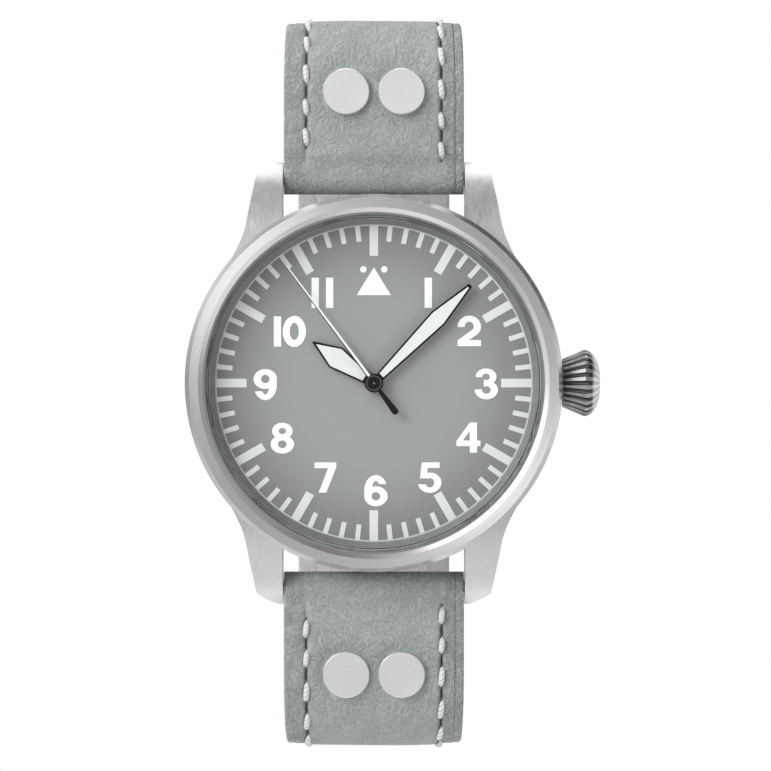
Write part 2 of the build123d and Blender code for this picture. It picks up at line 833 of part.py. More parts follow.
def make_mainplate():
    body = disc(movement_radius, plate_low, plate_high)
    pocket_radius = barrel_drum_radius + pocket_gap
    body -= disc(pocket_radius, plate_low - overrun, barrel_pocket_high, barrel_x, barrel_y)
    arbor_bore = barrel_arbor_radius + pivot_gap
    body -= disc(arbor_bore, plate_low, barrel_arbor_high + pivot_gap, barrel_x, barrel_y)
    hour_reach = hour_module * (hour_wheel_teeth / 2 + 1) + pocket_gap
    minute_reach = motion_module * (minute_wheel_teeth / 2 + 1) + pocket_gap
    body -= disc(hour_reach, motion_floor, plate_high + overrun)
    body -= disc(minute_reach, motion_floor, plate_high + overrun, minute_x, minute_y)
    body += disc(minute_post_radius, motion_floor, minute_pinion_z[1] + fit_gap, minute_x, minute_y)
    body -= disc(center_arbor_radius + pivot_gap, plate_low - overrun, plate_high + overrun)
    for x, y in ((third_x, third_y), (escape_x, escape_y), (fork_x, fork_y), (balance_x, balance_y)):
        body -= pivot_hole(x, y, plate_low - overrun, pivot_top_z + fit_gap)
    body -= block(stem_slot_x, movement_radius + overrun, -stem_slot_half, stem_slot_half,
                  plate_low - overrun, plate_high + overrun)
    body -= rod(stem_pilot_radius + pivot_gap, stem_inner_x - pivot_gap, stem_slot_x + overrun, 0, stem_z)
    for x, y in barrel_bridge_spots + train_bridge_spots + (cock_foot,):
        body -= disc(screw_shank_radius, plate_low - overrun, bridge_screw_high, x, y)
    return body


def bridge_blank():
    """The full round bridge with its rim wall, before it is split."""
    body = disc(movement_radius, bridge_low, bridge_high)
    return body + ring(movement_radius, movement_radius - bridge_wall, bridge_high, plate_low)


def add_screw_seats(body, spots):
    for x, y in spots:
        body += disc(pillar_radius, bridge_high, plate_low, x, y)
        body -= disc(screw_head_radius + fit_gap, bridge_low - overrun, screw_head_z[1], x, y)
        body -= disc(screw_shank_radius, bridge_low, plate_low + overrun, x, y)
    return body


def make_barrel_bridge():
    ratchet_reach = winding_module * (ratchet_teeth / 2 + 1) + wheel_pocket_gap
    crown_reach = winding_module * (crown_wheel_teeth / 2 + 1) + wheel_pocket_gap
    upper = block(-movement_radius, movement_radius, bridge_split_y, movement_radius, bridge_low, plate_low)
    body = bridge_blank() & upper
    body += disc(crown_reach + bridge_joint_gap, bridge_low, bridge_high, crown_wheel_x, 0)
    body -= disc(ratchet_reach, bridge_low - overrun, winding_pocket_high, barrel_x, barrel_y)
    body -= ring(crown_reach, crown_wheel_post, bridge_low - overrun, winding_pocket_high, crown_wheel_x, 0)
    body -= disc(barrel_arbor_radius + pivot_gap, bridge_low, plate_low, barrel_x, barrel_y)
    return add_screw_seats(body, barrel_bridge_spots)


def cock_plan(grow, low, high):
    """A bar with round ends from the cock's foot to the balance staff."""
    foot_x, foot_y = cock_foot
    run = hypot(balance_x - foot_x, balance_y - foot_y)
    turn = degrees(atan2(balance_y - foot_y, balance_x - foot_x))
    bar = block(0, run, -cock_foot_radius - grow, cock_foot_radius + grow, low, high)
    shape = Pos(foot_x, foot_y, 0) * Rot(0, 0, turn) * bar
    shape += disc(cock_foot_radius + grow, low, high, foot_x, foot_y)
    return shape + disc(cock_head_radius + grow, low, high, balance_x, balance_y)


def make_train_bridge():
    crown_reach = winding_module * (crown_wheel_teeth / 2 + 1) + wheel_pocket_gap
    split = bridge_split_y - bridge_joint_gap
    lower = block(-movement_radius, movement_radius, -movement_radius, split, bridge_low, plate_low)
    body = bridge_blank() & lower
    cut_radius = crown_reach + bridge_joint_gap + bridge_joint_gap
    body -= disc(cut_radius, bridge_low - overrun, bridge_high + fit_gap, crown_wheel_x, 0)
    body -= disc(balance_pocket, bridge_low - overrun, plate_low + overrun, balance_x, balance_y)
    body -= cock_plan(bridge_joint_gap, bridge_low - overrun, plate_low + overrun)
    body -= block(stem_slot_x, movement_radius + overrun, -stem_slot_half, stem_slot_half,
                  bridge_high, plate_low + overrun)
    for x, y in ((0, 0), (third_x, third_y), (escape_x, escape_y), (fork_x, fork_y)):
        body -= pivot_hole(x, y, pivot_foot_z - pivot_gap, bridge_high + overrun)
    return add_screw_seats(body, train_bridge_spots)


def make_balance_cock():
    foot_x, foot_y = cock_foot
    body = cock_plan(0, bridge_low, cock_high)
    body += disc(cock_foot_radius, bridge_low, plate_low, foot_x, foot_y)
    body -= pivot_hole(balance_x, balance_y, pivot_foot_z - pivot_gap, cock_high + overrun)
    body -= disc(screw_head_radius + fit_gap, bridge_low - overrun, screw_head_z[1], foot_x, foot_y)
    body -= disc(screw_shank_radius, bridge_low, plate_low + overrun, foot_x, foot_y)
    stud_x, stud_y = polar(hairspring_outer - stud_radius, 0)
    return body + disc(stud_radius, cock_high, hairspring_z[0], balance_x + stud_x, balance_y + stud_y)


def make_barrel():
    body = gear(barrel_teeth, barrel_module, barrel_teeth_z, barrel_angle + 180, barrel_x, barrel_y)
    body += disc(barrel_drum_radius, *barrel_drum_z, barrel_x, barrel_y)
    low, high = barrel_drum_z
    inner = barrel_drum_radius - barrel_wall
    body -= disc(inner, low + barrel_wall, high - barrel_wall, barrel_x, barrel_y)
    bore = barrel_arbor_radius + pivot_gap
    return body - disc(bore, low - overrun, high + overrun, barrel_x, barrel_y)


def make_mainspring():
    levels = (barrel_drum_z[0] + barrel_wall + fit_gap, barrel_drum_z[1] - barrel_wall - fit_gap)
    outer = barrel_drum_radius - barrel_wall - mainspring_thickness
    inner = barrel_core_radius + pocket_gap + mainspring_thickness
    return spiral(inner, outer, mainspring_turns, mainspring_thickness, levels, barrel_x, barrel_y)


def make_barrel_arbor():
    body = disc(barrel_arbor_radius, winding_z[0], barrel_arbor_high, barrel_x, barrel_y)
    core_low = barrel_drum_z[0] + barrel_wall + fit_gap
    core_high = barrel_drum_z[1] - barrel_wall - fit_gap
    return body + disc(barrel_core_radius, core_low, core_high, barrel_x, barrel_y)


def make_ratchet_wheel():
    wheel = gear(ratchet_teeth, winding_module, winding_z, crown_wheel_angle, barrel_x, barrel_y)
    low, high = winding_z
    return wheel - disc(barrel_arbor_radius, low - overrun, high + overrun, barrel_x, barrel_y)


def make_crown_wheel():
    facing = crown_wheel_angle + 180 + 180 / crown_wheel_teeth
    wheel = gear(crown_wheel_teeth, winding_module, winding_z, facing, crown_wheel_x, 0)
    low, high = winding_z
    return wheel - disc(crown_wheel_bore, low - overrun, high + overrun, crown_wheel_x, 0)


def make_center_wheel():
    wheel = gear(center_teeth, center_module, center_wheel_z, third_angle)
    body = crossed(wheel, center_teeth, center_module, center_wheel_z)
    facing = barrel_angle + 180 / center_pinion_teeth
    body += gear(center_pinion_teeth, barrel_module, center_pinion_z, facing)
    body += disc(center_arbor_radius, center_wheel_z[0], cannon_z[0])
    return body - disc(seconds_bore, center_wheel_z[0] - overrun, cannon_z[0] + overrun)


def make_cannon_pinion():
    body = gear(cannon_teeth, motion_module, cannon_z, minute_wheel_angle + 180 / cannon_teeth)
    body += disc(cannon_radius, cannon_z[0], minute_hand_z + hand_thickness)
    return body - disc(seconds_bore, cannon_z[0] - overrun, minute_hand_z + overrun)


def make_hour_wheel():
    wheel = gear(hour_wheel_teeth, hour_module, hour_wheel_z, minute_wheel_angle)
    body = wheel + disc(hour_tube_outer, hour_wheel_z[0], hour_hand_z + hand_thickness)
    return body - disc(hour_tube_inner, hour_wheel_z[0] - overrun, hour_hand_z + overrun)


def make_minute_wheel():
    x, y = minute_x, minute_y
    wheel = gear(minute_wheel_teeth, motion_module, minute_wheel_z, minute_wheel_angle + 180, x, y)
    facing = minute_wheel_angle + 180 + 180 / minute_pinion_teeth
    body = wheel + gear(minute_pinion_teeth, hour_module, minute_pinion_z, facing, x, y)
    return body - disc(minute_post_bore, motion_floor, plate_high + overrun, x, y)


def make_third_wheel():
    wheel = gear(third_teeth, third_module, third_wheel_z, third_angle + 180, third_x, third_y)
    body = crossed(wheel, third_teeth, third_module, third_wheel_z, third_x, third_y)
    facing = third_angle + 180 + 180 / third_pinion_teeth
    body += gear(third_pinion_teeth, center_module, third_pinion_z, facing, third_x, third_y)
    return body + arbor(third_x, third_y, third_wheel_z[0], third_pinion_z[1])


def make_fourth_wheel():
    wheel = gear(fourth_teeth, fourth_module, fourth_wheel_z, escape_angle)
    body = crossed(wheel, fourth_teeth, fourth_module, fourth_wheel_z)
    facing = third_angle + 180 / fourth_pinion_teeth
    body += gear(fourth_pinion_teeth, third_module, fourth_pinion_z, facing)
    body += disc(arbor_radius, fourth_wheel_z[0], fourth_pinion_z[1])
    return body + disc(pivot_radius, pivot_foot_z, seconds_hand_z + seconds_thickness)


def make_escape_wheel():
    pitch = 360 / escape_teeth
    points = []
    for number in range(escape_teeth):
        for is_tip, share in escape_tooth_shares:
            points.append(polar(escape_radius if is_tip else escape_root_radius, (number + share) * pitch))
    body = Pos(escape_x, escape_y, 0) * slab(points, *escape_wheel_z)
    facing = escape_angle + 180 + 180 / escape_pinion_teeth
    body += gear(escape_pinion_teeth, fourth_module, escape_pinion_z, facing, escape_x, escape_y)
    return body + arbor(escape_x, escape_y, escape_pinion_z[0], escape_wheel_z[1])


def make_pallet_fork():
    low, high = escape_wheel_z
    shape = block(-fork_half_width, fork_half_width, fork_arm_to, fork_stone_from, low, high)
    shape += block(-fork_anchor_half, fork_anchor_half, -fork_half_width, fork_stone_from, low, high)
    shape += block(-fork_horn_half, fork_horn_half, fork_arm_to, fork_arm_to + fork_half_width, low, high)
    for side in (1, -1):
        outer, inner = side * fork_anchor_half, side * (fork_anchor_half - fork_stone_width)
        shape += block(min(outer, inner), max(outer, inner), fork_stone_from, fork_stone_to, low, high)
        outer, inner = side * fork_horn_half, side * fork_half_width
        shape += block(min(outer, inner), max(outer, inner), fork_horn_to, fork_arm_to, low, high)
    placed = Pos(fork_x, fork_y, 0) * Rot(0, 0, fork_turn) * shape
    return placed + arbor(fork_x, fork_y, low - arbor_radius, high + arbor_radius)


def make_balance():
    x, y = balance_x, balance_y
    body = ring(balance_radius, balance_radius - balance_rim, *balance_z, x, y)
    reach = balance_radius - balance_rim / 2
    body += block(x - reach, x + reach, y - balance_arm / 2, y + balance_arm / 2, *balance_z)
    body += disc(roller_radius, *roller_z, x, y)
    body += disc(collet_radius, hairspring_z[0], roller_z[1], x, y)
    return body + disc(staff_radius, pivot_foot_z, pivot_top_z, x, y)


def make_hairspring():
    inner, outer = hairspring_inner, hairspring_outer - stud_radius
    return spiral(inner, outer, hairspring_turns, hairspring_thickness, hairspring_z, balance_x, balance_y)


def make_rotor():
    body = disc(rotor_radius, *rotor_z) + ring(rotor_radius, rotor_rim_inner, *rotor_rim_z)
    body &= block(-rotor_radius, rotor_radius, -rotor_radius, 0, *rotor_rim_z)
    body += disc(rotor_hub, *rotor_z)
    return body - disc(rotor_bore, rotor_z[0] - overrun, rotor_z[1] + overrun)


def make_rotor_bearing():
    body = disc(bearing_radius, bearing_low, bridge_low)
    body += disc(bearing_head_radius, bearing_low, bearing_head_high)
    return body + disc(bearing_head_radius, bearing_foot_low, bridge_low)


def make_movement_ring():
    body = ring(ring_outer, ring_inner, case_ledge_z, ring_high)
    body -= rod(stem_channel, ring_inner - overrun, ring_outer + overrun, 0, stem_z)
    for angle in clamp_angles:
        x, y = polar(clamp_screw_reach, angle)
        body -= disc(screw_shank_radius, case_ledge_z, clamp_low + screw_shank_length, x, y)
    return body


def make_clamps():
    pieces = []
    for angle in clamp_angles:
        plate = block(clamp_inner, clamp_outer, -clamp_width / 2, clamp_width / 2, clamp_low, bridge_low)
        hole = screw_shank_radius + fit_gap
        plate -= disc(hole, clamp_low - overrun, bridge_low + overrun, clamp_screw_reach, 0)
        pieces.append(Rot(0, 0, angle) * plate)
    return Compound(children=pieces)


def screw(x, y, head_low, head_high, shank_high):
    body = disc(screw_head_radius, head_low, head_high, x, y)
    body += disc(screw_shank_radius, head_low, shank_high, x, y)
    half = screw_slot_width / 2
    reach = screw_head_radius + fit_gap
    slot_top = head_low + screw_slot_depth
    return body - block(x - reach, x + reach, y - half, y + half, head_low - overrun, slot_top)


def make_clamp_screws():
    pieces = []
    for angle in clamp_angles:
        x, y = polar(clamp_screw_reach, angle)
        pieces.append(screw(x, y, clamp_low - screw_head_height, clamp_low, clamp_low + screw_shank_length))
    return Compound(children=pieces)


def make_bridge_screws():
    spots = barrel_bridge_spots + train_bridge_spots + (cock_foot,)
    return Compound(children=[screw(x, y, *screw_head_z, bridge_screw_high) for x, y in spots])


# Crown and stem

def make_crown():
    dome = [(crown_inner_x + x * crown_length, y * crown_max_radius) for x, y in crown_dome_shares]
    start, base = (crown_inner_x, 0), (crown_inner_x, crown_base_radius)
    end = (crown_outer_x, 0)
    outline = make_face([
        Line(start, base), Line(base, dome[0]), Spline(*dome), Line(dome[-1], end), Line(end, start),
    ])
    body = Pos(0, 0, stem_z) * revolve(Plane.XZ * outline, Axis.X)
    body -= rod(crown_recess_radius, crown_inner_x - overrun, crown_recess_x, 0, stem_z)
    body -= rod(stem_radius, crown_inner_x, stem_outer_x, 0, stem_z)
    widest_x, widest_radius = dome[0]
    flare = degrees(atan2(widest_radius - crown_base_radius, widest_x - crown_inner_x))
    length = crown_outer_x - crown_inner_x + overrun
    groove = Pos(crown_inner_x, 0, crown_base_radius + crown_groove_rise) * Rot(0, 90 - flare, 0)
    cutter = groove * Cylinder(crown_groove_radius, length + length)
    step = 360 / crown_groove_count
    return body - [
        Pos(0, 0, stem_z) * Rot(step * number, 0, 0) * cutter for number in range(crown_groove_count)
    ]


def make_crown_tube():
    return rod(tube_outer, tube_inner_x, tube_outer_x, 0, stem_z) - rod(
        tube_inner, tube_inner_x - overrun, tube_outer_x + overrun, 0, stem_z)


def make_crown_gasket():
    low, high = crown_gasket_low, crown_gasket_high
    return rod(crown_recess_radius, low, high, 0, stem_z) - rod(
        tube_outer + fit_gap, low - overrun, high + overrun, 0, stem_z)


def make_stem():
    body = rod(stem_radius, stem_shoulder_x, stem_outer_x, 0, stem_z)
    return body + rod(stem_pilot_radius, stem_inner_x, stem_shoulder_x, 0, stem_z)


def notched_pinion(radius, x_from, length, bore):
    x_to = x_from + length
    body = rod(radius, x_from, x_to) - rod(bore, x_from - overrun, x_to + overrun)
    for number in range(pinion_notch_count):
        notch = rod(pinion_notch, x_from - overrun, x_to + overrun, radius, 0)
        body -= Rot(360 / pinion_notch_count * number, 0, 0) * notch
    return Pos(0, 0, stem_z) * body


def make_setting_lever():
    body = block(lever_x, lever_x + lever_thickness, -lever_half, lever_half, lever_low, lever_high)
    return body - rod(stem_radius + fit_gap, lever_x - overrun, lever_x + overrun, 0, stem_z)


# Strap. A station is (centre y, centre z, radius, direction of the outward normal in degrees,
# thickness); stations with one normal are joined by a line, others by an arc about their centre.

def station_point(station, shift):
    center_y, center_z, radius, normal, thickness = station
    reach = radius + shift * thickness
    return center_y + reach * cos(radians(normal)), center_z + reach * sin(radians(normal))


def strap_edge(stations, shift, offset):
    """Edges along the strap, a share of the thickness and a fixed offset away from its middle."""
    edges = []
    for first, second in zip(stations, stations[1:]):
        start = station_point((*first[:2], first[2] + offset, *first[3:]), shift)
        end = station_point((*second[:2], second[2] + offset, *second[3:]), shift)
        if first[3] == second[3]:
            if hypot(end[0] - start[0], end[1] - start[1]) > weld:
                edges.append(Line(start, end))
        else:
            normal = (first[3] + second[3]) / 2
            middle = station_point((first[0], first[1], first[2] + offset, normal, first[4]), shift)
            edges.append(ThreePointArc(start, middle, end))
    return edges


def strap_band(stations, outer, inner):
    """A band between two lines beside the strap's middle, each a share and an offset."""
    far = strap_edge(stations, *outer)
    near = strap_edge(stations, *inner)
    ends = [Line(far[0] @ 0, near[0] @ 0), Line(far[-1] @ 1, near[-1] @ 1)]
    face = Plane.YZ * make_face(far + near + ends)
    return extrude(face, amount=strap_half_width, both=True)


def taper():
    """The strap's width outline: full at the top of the loop, narrow at the bottom."""
    top, low = pad_thickness + case_high, table_z - overrun
    wide, narrow = strap_half_width, strap_tail_half_width
    points = [
        (-wide, top), (wide, top), (wide, taper_top_z), (narrow, taper_low_z),
        (narrow, low), (-narrow, low), (-narrow, taper_low_z), (-wide, taper_top_z),
    ]
    face = Plane.XZ * make_face(Polyline(*points, close=True))
    return extrude(face, amount=corner_y + bottom_radius, both=True)


corner_z = bar_z - corner_radius
short_bend_z = short_mid_z + bottom_radius
long_bend_z = long_mid_z + bottom_radius
step_run = step_to_y - step_from_y
step_drop = long_mid_z - tail_mid_z
step_half_angle = degrees(atan2(step_drop, step_run))
step_radius = step_run / (2 * sin(radians(2 * step_half_angle)))
tail_bend_radius = short_bend_z - tail_mid_z

lug_stations = [
    (bar_y, bar_z, 0, 90, lug_end_thickness),
    (pad_from_y - pad_ramp, bar_z, 0, 90, lug_end_thickness),
    (pad_from_y, bar_z, 0, 90, pad_thickness),
    (corner_y, corner_z, corner_radius, 90, corner_thickness),
    (corner_y, corner_z, corner_radius, 0, corner_thickness),
]
short_stations = lug_stations + [
    (bottom_bend_y, short_bend_z, bottom_radius, 0, short_thickness),
    (bottom_bend_y, short_bend_z, bottom_radius, -90, short_thickness),
    (heel_y, short_bend_z, bottom_radius, -90, short_thickness),
]
long_stations = lug_stations + [
    (bottom_bend_y, long_bend_z, bottom_radius, 0, tail_thickness),
    (bottom_bend_y, long_bend_z, bottom_radius, -90, tail_thickness),
    (-step_from_y, long_mid_z - step_radius, -step_radius, -90, tail_thickness),
    (-step_from_y, long_mid_z - step_radius, -step_radius, -90 + 2 * step_half_angle, tail_thickness),
    (-step_to_y, tail_mid_z + step_radius, step_radius, -90 + 2 * step_half_angle, tail_thickness),
    (-step_to_y, tail_mid_z + step_radius, step_radius, -90, tail_thickness),
    (-bottom_bend_y, short_bend_z, tail_bend_radius, -90, tail_thickness),
    (-bottom_bend_y, short_bend_z, tail_bend_radius, -90 - tail_bend_angle, tail_thickness),
]


def rivet_place(sign):
    """The rivet's seat: on the strap's outer face, tilted with it."""
    reach = corner_radius + corner_thickness / 2
    angle = degrees(asin((rivet_y - corner_y) / reach))
    height = corner_z + reach * cos(radians(angle))
    place = Pos(0, rivet_y, height) * Rot(-rivet_tilt, 0, 0)
    return place if sign > 0 else Rot(0, 0, 180) * place


def rivet_solid(grow):
    radius = rivet_radius + grow
    head = turned([
        (0, -rivet_sunk), (radius, -rivet_sunk), (radius, rivet_proud - rivet_edge),
        (radius - rivet_edge, rivet_proud), (0, rivet_proud),
    ])
    back_low = -corner_thickness - rivet_back_height - rivet_back_drop
    head += disc(rivet_shank + grow, back_low, 0)
    return head + disc(rivet_back_radius + grow, back_low, back_low + rivet_back_height + rivet_back_drop)


def make_rivets(sign):
    return [rivet_place(sign) * Pos(x, 0, 0) * rivet_solid(0) for x in (-rivet_x, rivet_x)]


def cut_rivets(body, sign):
    for x in (-rivet_x, rivet_x):
        body -= rivet_place(sign) * Pos(x, 0, 0) * rivet_solid(fit_gap)
        body -= rivet_place(sign) * Pos(x, 0, 0) * disc(rivet_radius + fit_gap, -rivet_sunk, overrun)
    return body


outer_face = (0.5, 0)
inner_face = (-0.5, 0)
lining_line = (-0.5, lining_thickness)
leather_line = (-0.5, lining_thickness + layer_gap)


def make_short_top():
    body = strap_band(short_stations, outer_face, leather_line)
    body += rod(fold_radius, -strap_half_width, strap_half_width, bar_y, bar_z)
    body += rod(heel_fold_radius, -strap_half_width, strap_half_width, heel_y, short_mid_z)
    body &= taper()
    body -= rod(bar_bore, -case_radius, case_radius, bar_y, bar_z)
    body -= rod(heel_bore, -case_radius, case_radius, heel_y, short_mid_z)
    slot_to = heel_y + tongue_slot_length
    body -= block(-tongue_slot_half, tongue_slot_half, heel_y - overrun, slot_to,
                  short_mid_z - overrun, short_mid_z + overrun)
    return cut_rivets(body, 1)


def make_short_lining():
    body = strap_band(short_stations, lining_line, inner_face) & taper()
    body -= rod(fold_radius + fit_gap, -case_radius, case_radius, bar_y, bar_z)
    body -= rod(heel_fold_radius + fit_gap, -case_radius, case_radius, heel_y, short_mid_z)
    slot_to = heel_y + tongue_slot_length
    body -= block(-tongue_slot_half, tongue_slot_half, heel_y - overrun, slot_to,
                  short_mid_z - overrun, short_mid_z + overrun)
    return cut_rivets(body, 1)


def tail_cutter():
    """Everything beyond the rounded tip of the long strap, seen from above."""
    radius = strap_tail_half_width
    low, high = table_z - overrun, short_bend_z
    keep = disc(radius, low, high, 0, tail_tip_y - radius)
    beyond = block(-case_radius, case_radius, tail_tip_y - radius, tail_tip_y + bottom_radius, low, high)
    return beyond - keep


def tongue_blade(grow, turn):
    """The tongue's bent blade, turned outwards about the heel bar."""
    half = tongue_thickness / 2 + grow
    half_width = tongue_width / 2 + grow
    spots = ((0, 0), tongue_knee, tongue_tip)
    body = rod(half, -half_width, half_width)
    for (y, z), (next_y, next_z) in zip(spots, spots[1:]):
        slope = degrees(atan2(z - next_z, y - next_y))
        strip = block(-half_width, half_width, -hypot(next_y - y, next_z - z), 0, -half, half)
        body += Pos(0, y, z) * Rot(slope, 0, 0) * strip
        body += rod(half, -half_width, half_width, next_y, next_z)
    return Pos(0, heel_y, short_mid_z) * Rot(turn, 0, 0) * body


def cut_long(body):
    """Trims the tip, punches the holes and opens the one that the tongue is in."""
    body = body & (Rot(0, 0, 180) * taper())
    for y in hole_ys:
        body -= disc(hole_radius, table_z - overrun, short_bend_z - bottom_radius / 2, 0, y)
    for turn in (0, tongue_play_angle):
        body -= tongue_blade(tongue_gap, turn)
    return body - tail_cutter()


def make_long_top():
    body = Rot(0, 0, 180) * strap_band(long_stations, outer_face, leather_line)
    body += rod(fold_radius, -strap_half_width, strap_half_width, -bar_y, bar_z)
    body -= rod(bar_bore, -case_radius, case_radius, -bar_y, bar_z)
    return cut_rivets(cut_long(body), -1)


def make_long_lining():
    body = Rot(0, 0, 180) * strap_band(long_stations, lining_line, inner_face)
    body -= rod(fold_radius + fit_gap, -case_radius, case_radius, -bar_y, bar_z)
    return cut_rivets(cut_long(body), -1)


def make_spring_bar(sign):
    reach = spring_bar_half + spring_tip_reach
    body = rod(spring_bar_radius, -spring_bar_half, spring_bar_half, sign * bar_y, bar_z)
    return body + rod(spring_tip_radius, -reach, reach, sign * bar_y, bar_z)


# Buckle and keepers

front_bar_z = table_z + front_bar_radius


def make_buckle_frame():
    body = rod(front_bar_radius, -frame_outer_x, frame_outer_x, front_bar_y, front_bar_z)
    run, rise = heel_y - front_bar_y, short_mid_z - front_bar_z
    angle = degrees(atan2(rise, run))
    for side in (1, -1):
        low, high = sorted((side * frame_inner_x, side * frame_outer_x))
        arm = block(low, high, 0, hypot(run, rise), -front_bar_radius, front_bar_radius)
        body += Pos(0, front_bar_y, front_bar_z) * Rot(angle, 0, 0) * arm
        body += rod(frame_heel_radius, low, high, heel_y, short_mid_z)
    body -= rod(heel_bar_radius, -case_radius, case_radius, heel_y, short_mid_z)
    for turn in (0, tongue_play_angle):
        body -= tongue_blade(tongue_gap, turn)
    return body


def make_buckle_bar():
    return rod(heel_bar_radius, -frame_outer_x, frame_outer_x, heel_y, short_mid_z)


def make_tongue():
    half = tongue_width / 2
    body = tongue_blade(0, 0) + rod(tongue_eye_radius, -half, half, heel_y, short_mid_z)
    return body - rod(heel_bar_radius + fit_gap, -overrun, overrun, heel_y, short_mid_z)


def make_keeper(y_from, y_to):
    low, high = table_z, short_mid_z + short_thickness / 2 + keeper_gap + keeper_wall
    body = block(-keeper_half_outer, keeper_half_outer, y_from, y_to, low, high)
    inner_low = low + keeper_wall
    return body - block(-keeper_half_inner, keeper_half_inner, y_from - overrun, y_to + overrun,
                        inner_low, high - keeper_wall)


# Build

parts = {
    "case_middle": make_case_middle(),
    "case_back": make_case_back(),
    "case_back_gasket": ring(back_gasket_outer, back_gasket_inner, back_flange,
                             back_flange + back_gasket_height),
    "bezel": make_bezel(),
    "crystal": make_crystal(),
    "crystal_gasket": ring(bezel_bore, crystal_radius, bezel_ledge_z, crystal_gasket_high),
    "rehaut_ring": make_rehaut(),
    "dial": ring(dial_radius, dial_hole, dial_low, dial_high),
    "dial_batons": make_batons(),
    "dial_numerals": make_numerals(),
    "hour_hand": make_hand(
        hand_outline(hour_waist, hour_wide, hour_wide_at, hour_tip, hour_length),
        lume_outline(hour_waist, hour_wide, hour_wide_at, hour_lume_tip, hour_lume_to),
        hour_hand_z, hour_tube_outer, hour_angle),
    "hour_hand_lume": clock(slab(
        lume_outline(hour_waist, hour_wide, hour_wide_at, hour_lume_tip, hour_lume_to),
        hour_hand_z, hour_hand_z + hand_thickness), hour_angle),
    "minute_hand": make_hand(
        hand_outline(minute_waist, minute_wide, minute_wide_at, minute_tip, minute_length),
        lume_outline(minute_waist, minute_wide, minute_wide_at, minute_lume_tip, minute_lume_to),
        minute_hand_z, cannon_radius, minute_angle),
    "minute_hand_lume": clock(slab(
        lume_outline(minute_waist, minute_wide, minute_wide_at, minute_lume_tip, minute_lume_to),
        minute_hand_z, minute_hand_z + hand_thickness), minute_angle),
    "seconds_hand": make_seconds_needle(),
    "seconds_hand_hub": make_seconds_hub(),
    "mainplate": make_mainplate(),
    "barrel_bridge": make_barrel_bridge(),
    "train_bridge": make_train_bridge(),
    "balance_cock": make_balance_cock(),
    "barrel": make_barrel(),
    "mainspring": make_mainspring(),
    "barrel_arbor": make_barrel_arbor(),
    "ratchet_wheel": make_ratchet_wheel(),
    "crown_wheel": make_crown_wheel(),
    "center_wheel": make_center_wheel(),
    "cannon_pinion": make_cannon_pinion(),
    "hour_wheel": make_hour_wheel(),
    "minute_wheel": make_minute_wheel(),
    "third_wheel": make_third_wheel(),
    "fourth_wheel": make_fourth_wheel(),
    "escape_wheel": make_escape_wheel(),
    "pallet_fork": make_pallet_fork(),
    "balance_wheel": make_balance(),
    "hairspring": make_hairspring(),
    "rotor": make_rotor(),
    "rotor_bearing": make_rotor_bearing(),
    "movement_ring": make_movement_ring(),
    "movement_clamps": make_clamps(),
    "clamp_screws": make_clamp_screws(),
    "bridge_screws": make_bridge_screws(),
    "crown": make_crown(),
    "crown_tube": make_crown_tube(),
    "crown_gasket": make_crown_gasket(),
    "winding_stem": make_stem(),
    "winding_pinion": notched_pinion(
        winding_pinion_radius, winding_pinion_x, winding_pinion_length, stem_radius + fit_gap),
    "sliding_pinion": notched_pinion(
        sliding_pinion_radius, sliding_pinion_x, sliding_pinion_length, stem_radius),
    "setting_lever": make_setting_lever(),
    "spring_bars": Compound(children=[make_spring_bar(1), make_spring_bar(-1)]),
    "strap_short_leather": make_short_top(),
    "strap_short_lining": make_short_lining(),
    "strap_long_leather": make_long_top(),
    "strap_long_lining": make_long_lining(),
    "rivets": Compound(children=make_rivets(1) + make_rivets(-1)),
    "fixed_keeper": make_keeper(*fixed_keeper_y),
    "free_keeper": make_keeper(*free_keeper_y),
    "buckle_frame": make_buckle_frame(),
    "buckle_tongue": make_tongue(),
    "buckle_bar": make_buckle_bar(),
}

os.makedirs("parts", exist_ok=True)
for name, shape in parts.items():
    export_step(shape, "parts/" + name + ".step")
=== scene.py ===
import math

import bmesh
import bpy
import numpy as np
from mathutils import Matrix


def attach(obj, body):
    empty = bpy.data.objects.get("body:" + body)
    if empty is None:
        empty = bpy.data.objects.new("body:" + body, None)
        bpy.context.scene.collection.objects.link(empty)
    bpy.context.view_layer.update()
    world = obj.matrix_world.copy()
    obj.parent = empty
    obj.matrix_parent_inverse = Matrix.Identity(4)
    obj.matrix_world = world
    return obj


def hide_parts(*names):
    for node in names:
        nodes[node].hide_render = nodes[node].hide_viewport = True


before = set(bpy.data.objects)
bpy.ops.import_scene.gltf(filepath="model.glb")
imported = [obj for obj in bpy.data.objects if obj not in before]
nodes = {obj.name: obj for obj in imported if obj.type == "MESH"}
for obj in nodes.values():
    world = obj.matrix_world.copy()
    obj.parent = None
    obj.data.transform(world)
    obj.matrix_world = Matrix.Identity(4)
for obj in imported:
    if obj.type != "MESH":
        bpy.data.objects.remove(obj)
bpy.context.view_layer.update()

mm = 0.001

# Measures of the strap in millimetres, as in the CAD source

bar_y, bar_z = 22.95, 2.9
corner_y, corner_z, corner_radius = 32.0, -4.6, 7.5
bottom_radius = 20.0
bottom_bend_y = 19.5
short_mid_z, tail_mid_z, long_mid_z = -32.2, -34.7, -33.4
heel_y = 2.0
tail_tip_y = 30.1
lining_thickness = 0.8
layer_gap = 0.02
half_width_top, half_width_low = 10.1, 9.2
taper_top_z, taper_low_z = 3.0, -28.0
stitch_line = 7.45
stitch_pitch = 3.35
stitch_start_near, stitch_start_far = 3.1, 4.6
padded_end = 34.0
hole_ys = (-16.0, -9.7, 3.4, 9.9, 16.4)
hole_radius = 1.0
rivet_along = corner_y - bar_y + 0.48
rivet_x = 3.1
rivet_press_radius = 2.5
thread_half_length, thread_half_width, thread_half_height = 1.02, 0.34, 0.32
tongue_knee = (-8.4, -4.05)

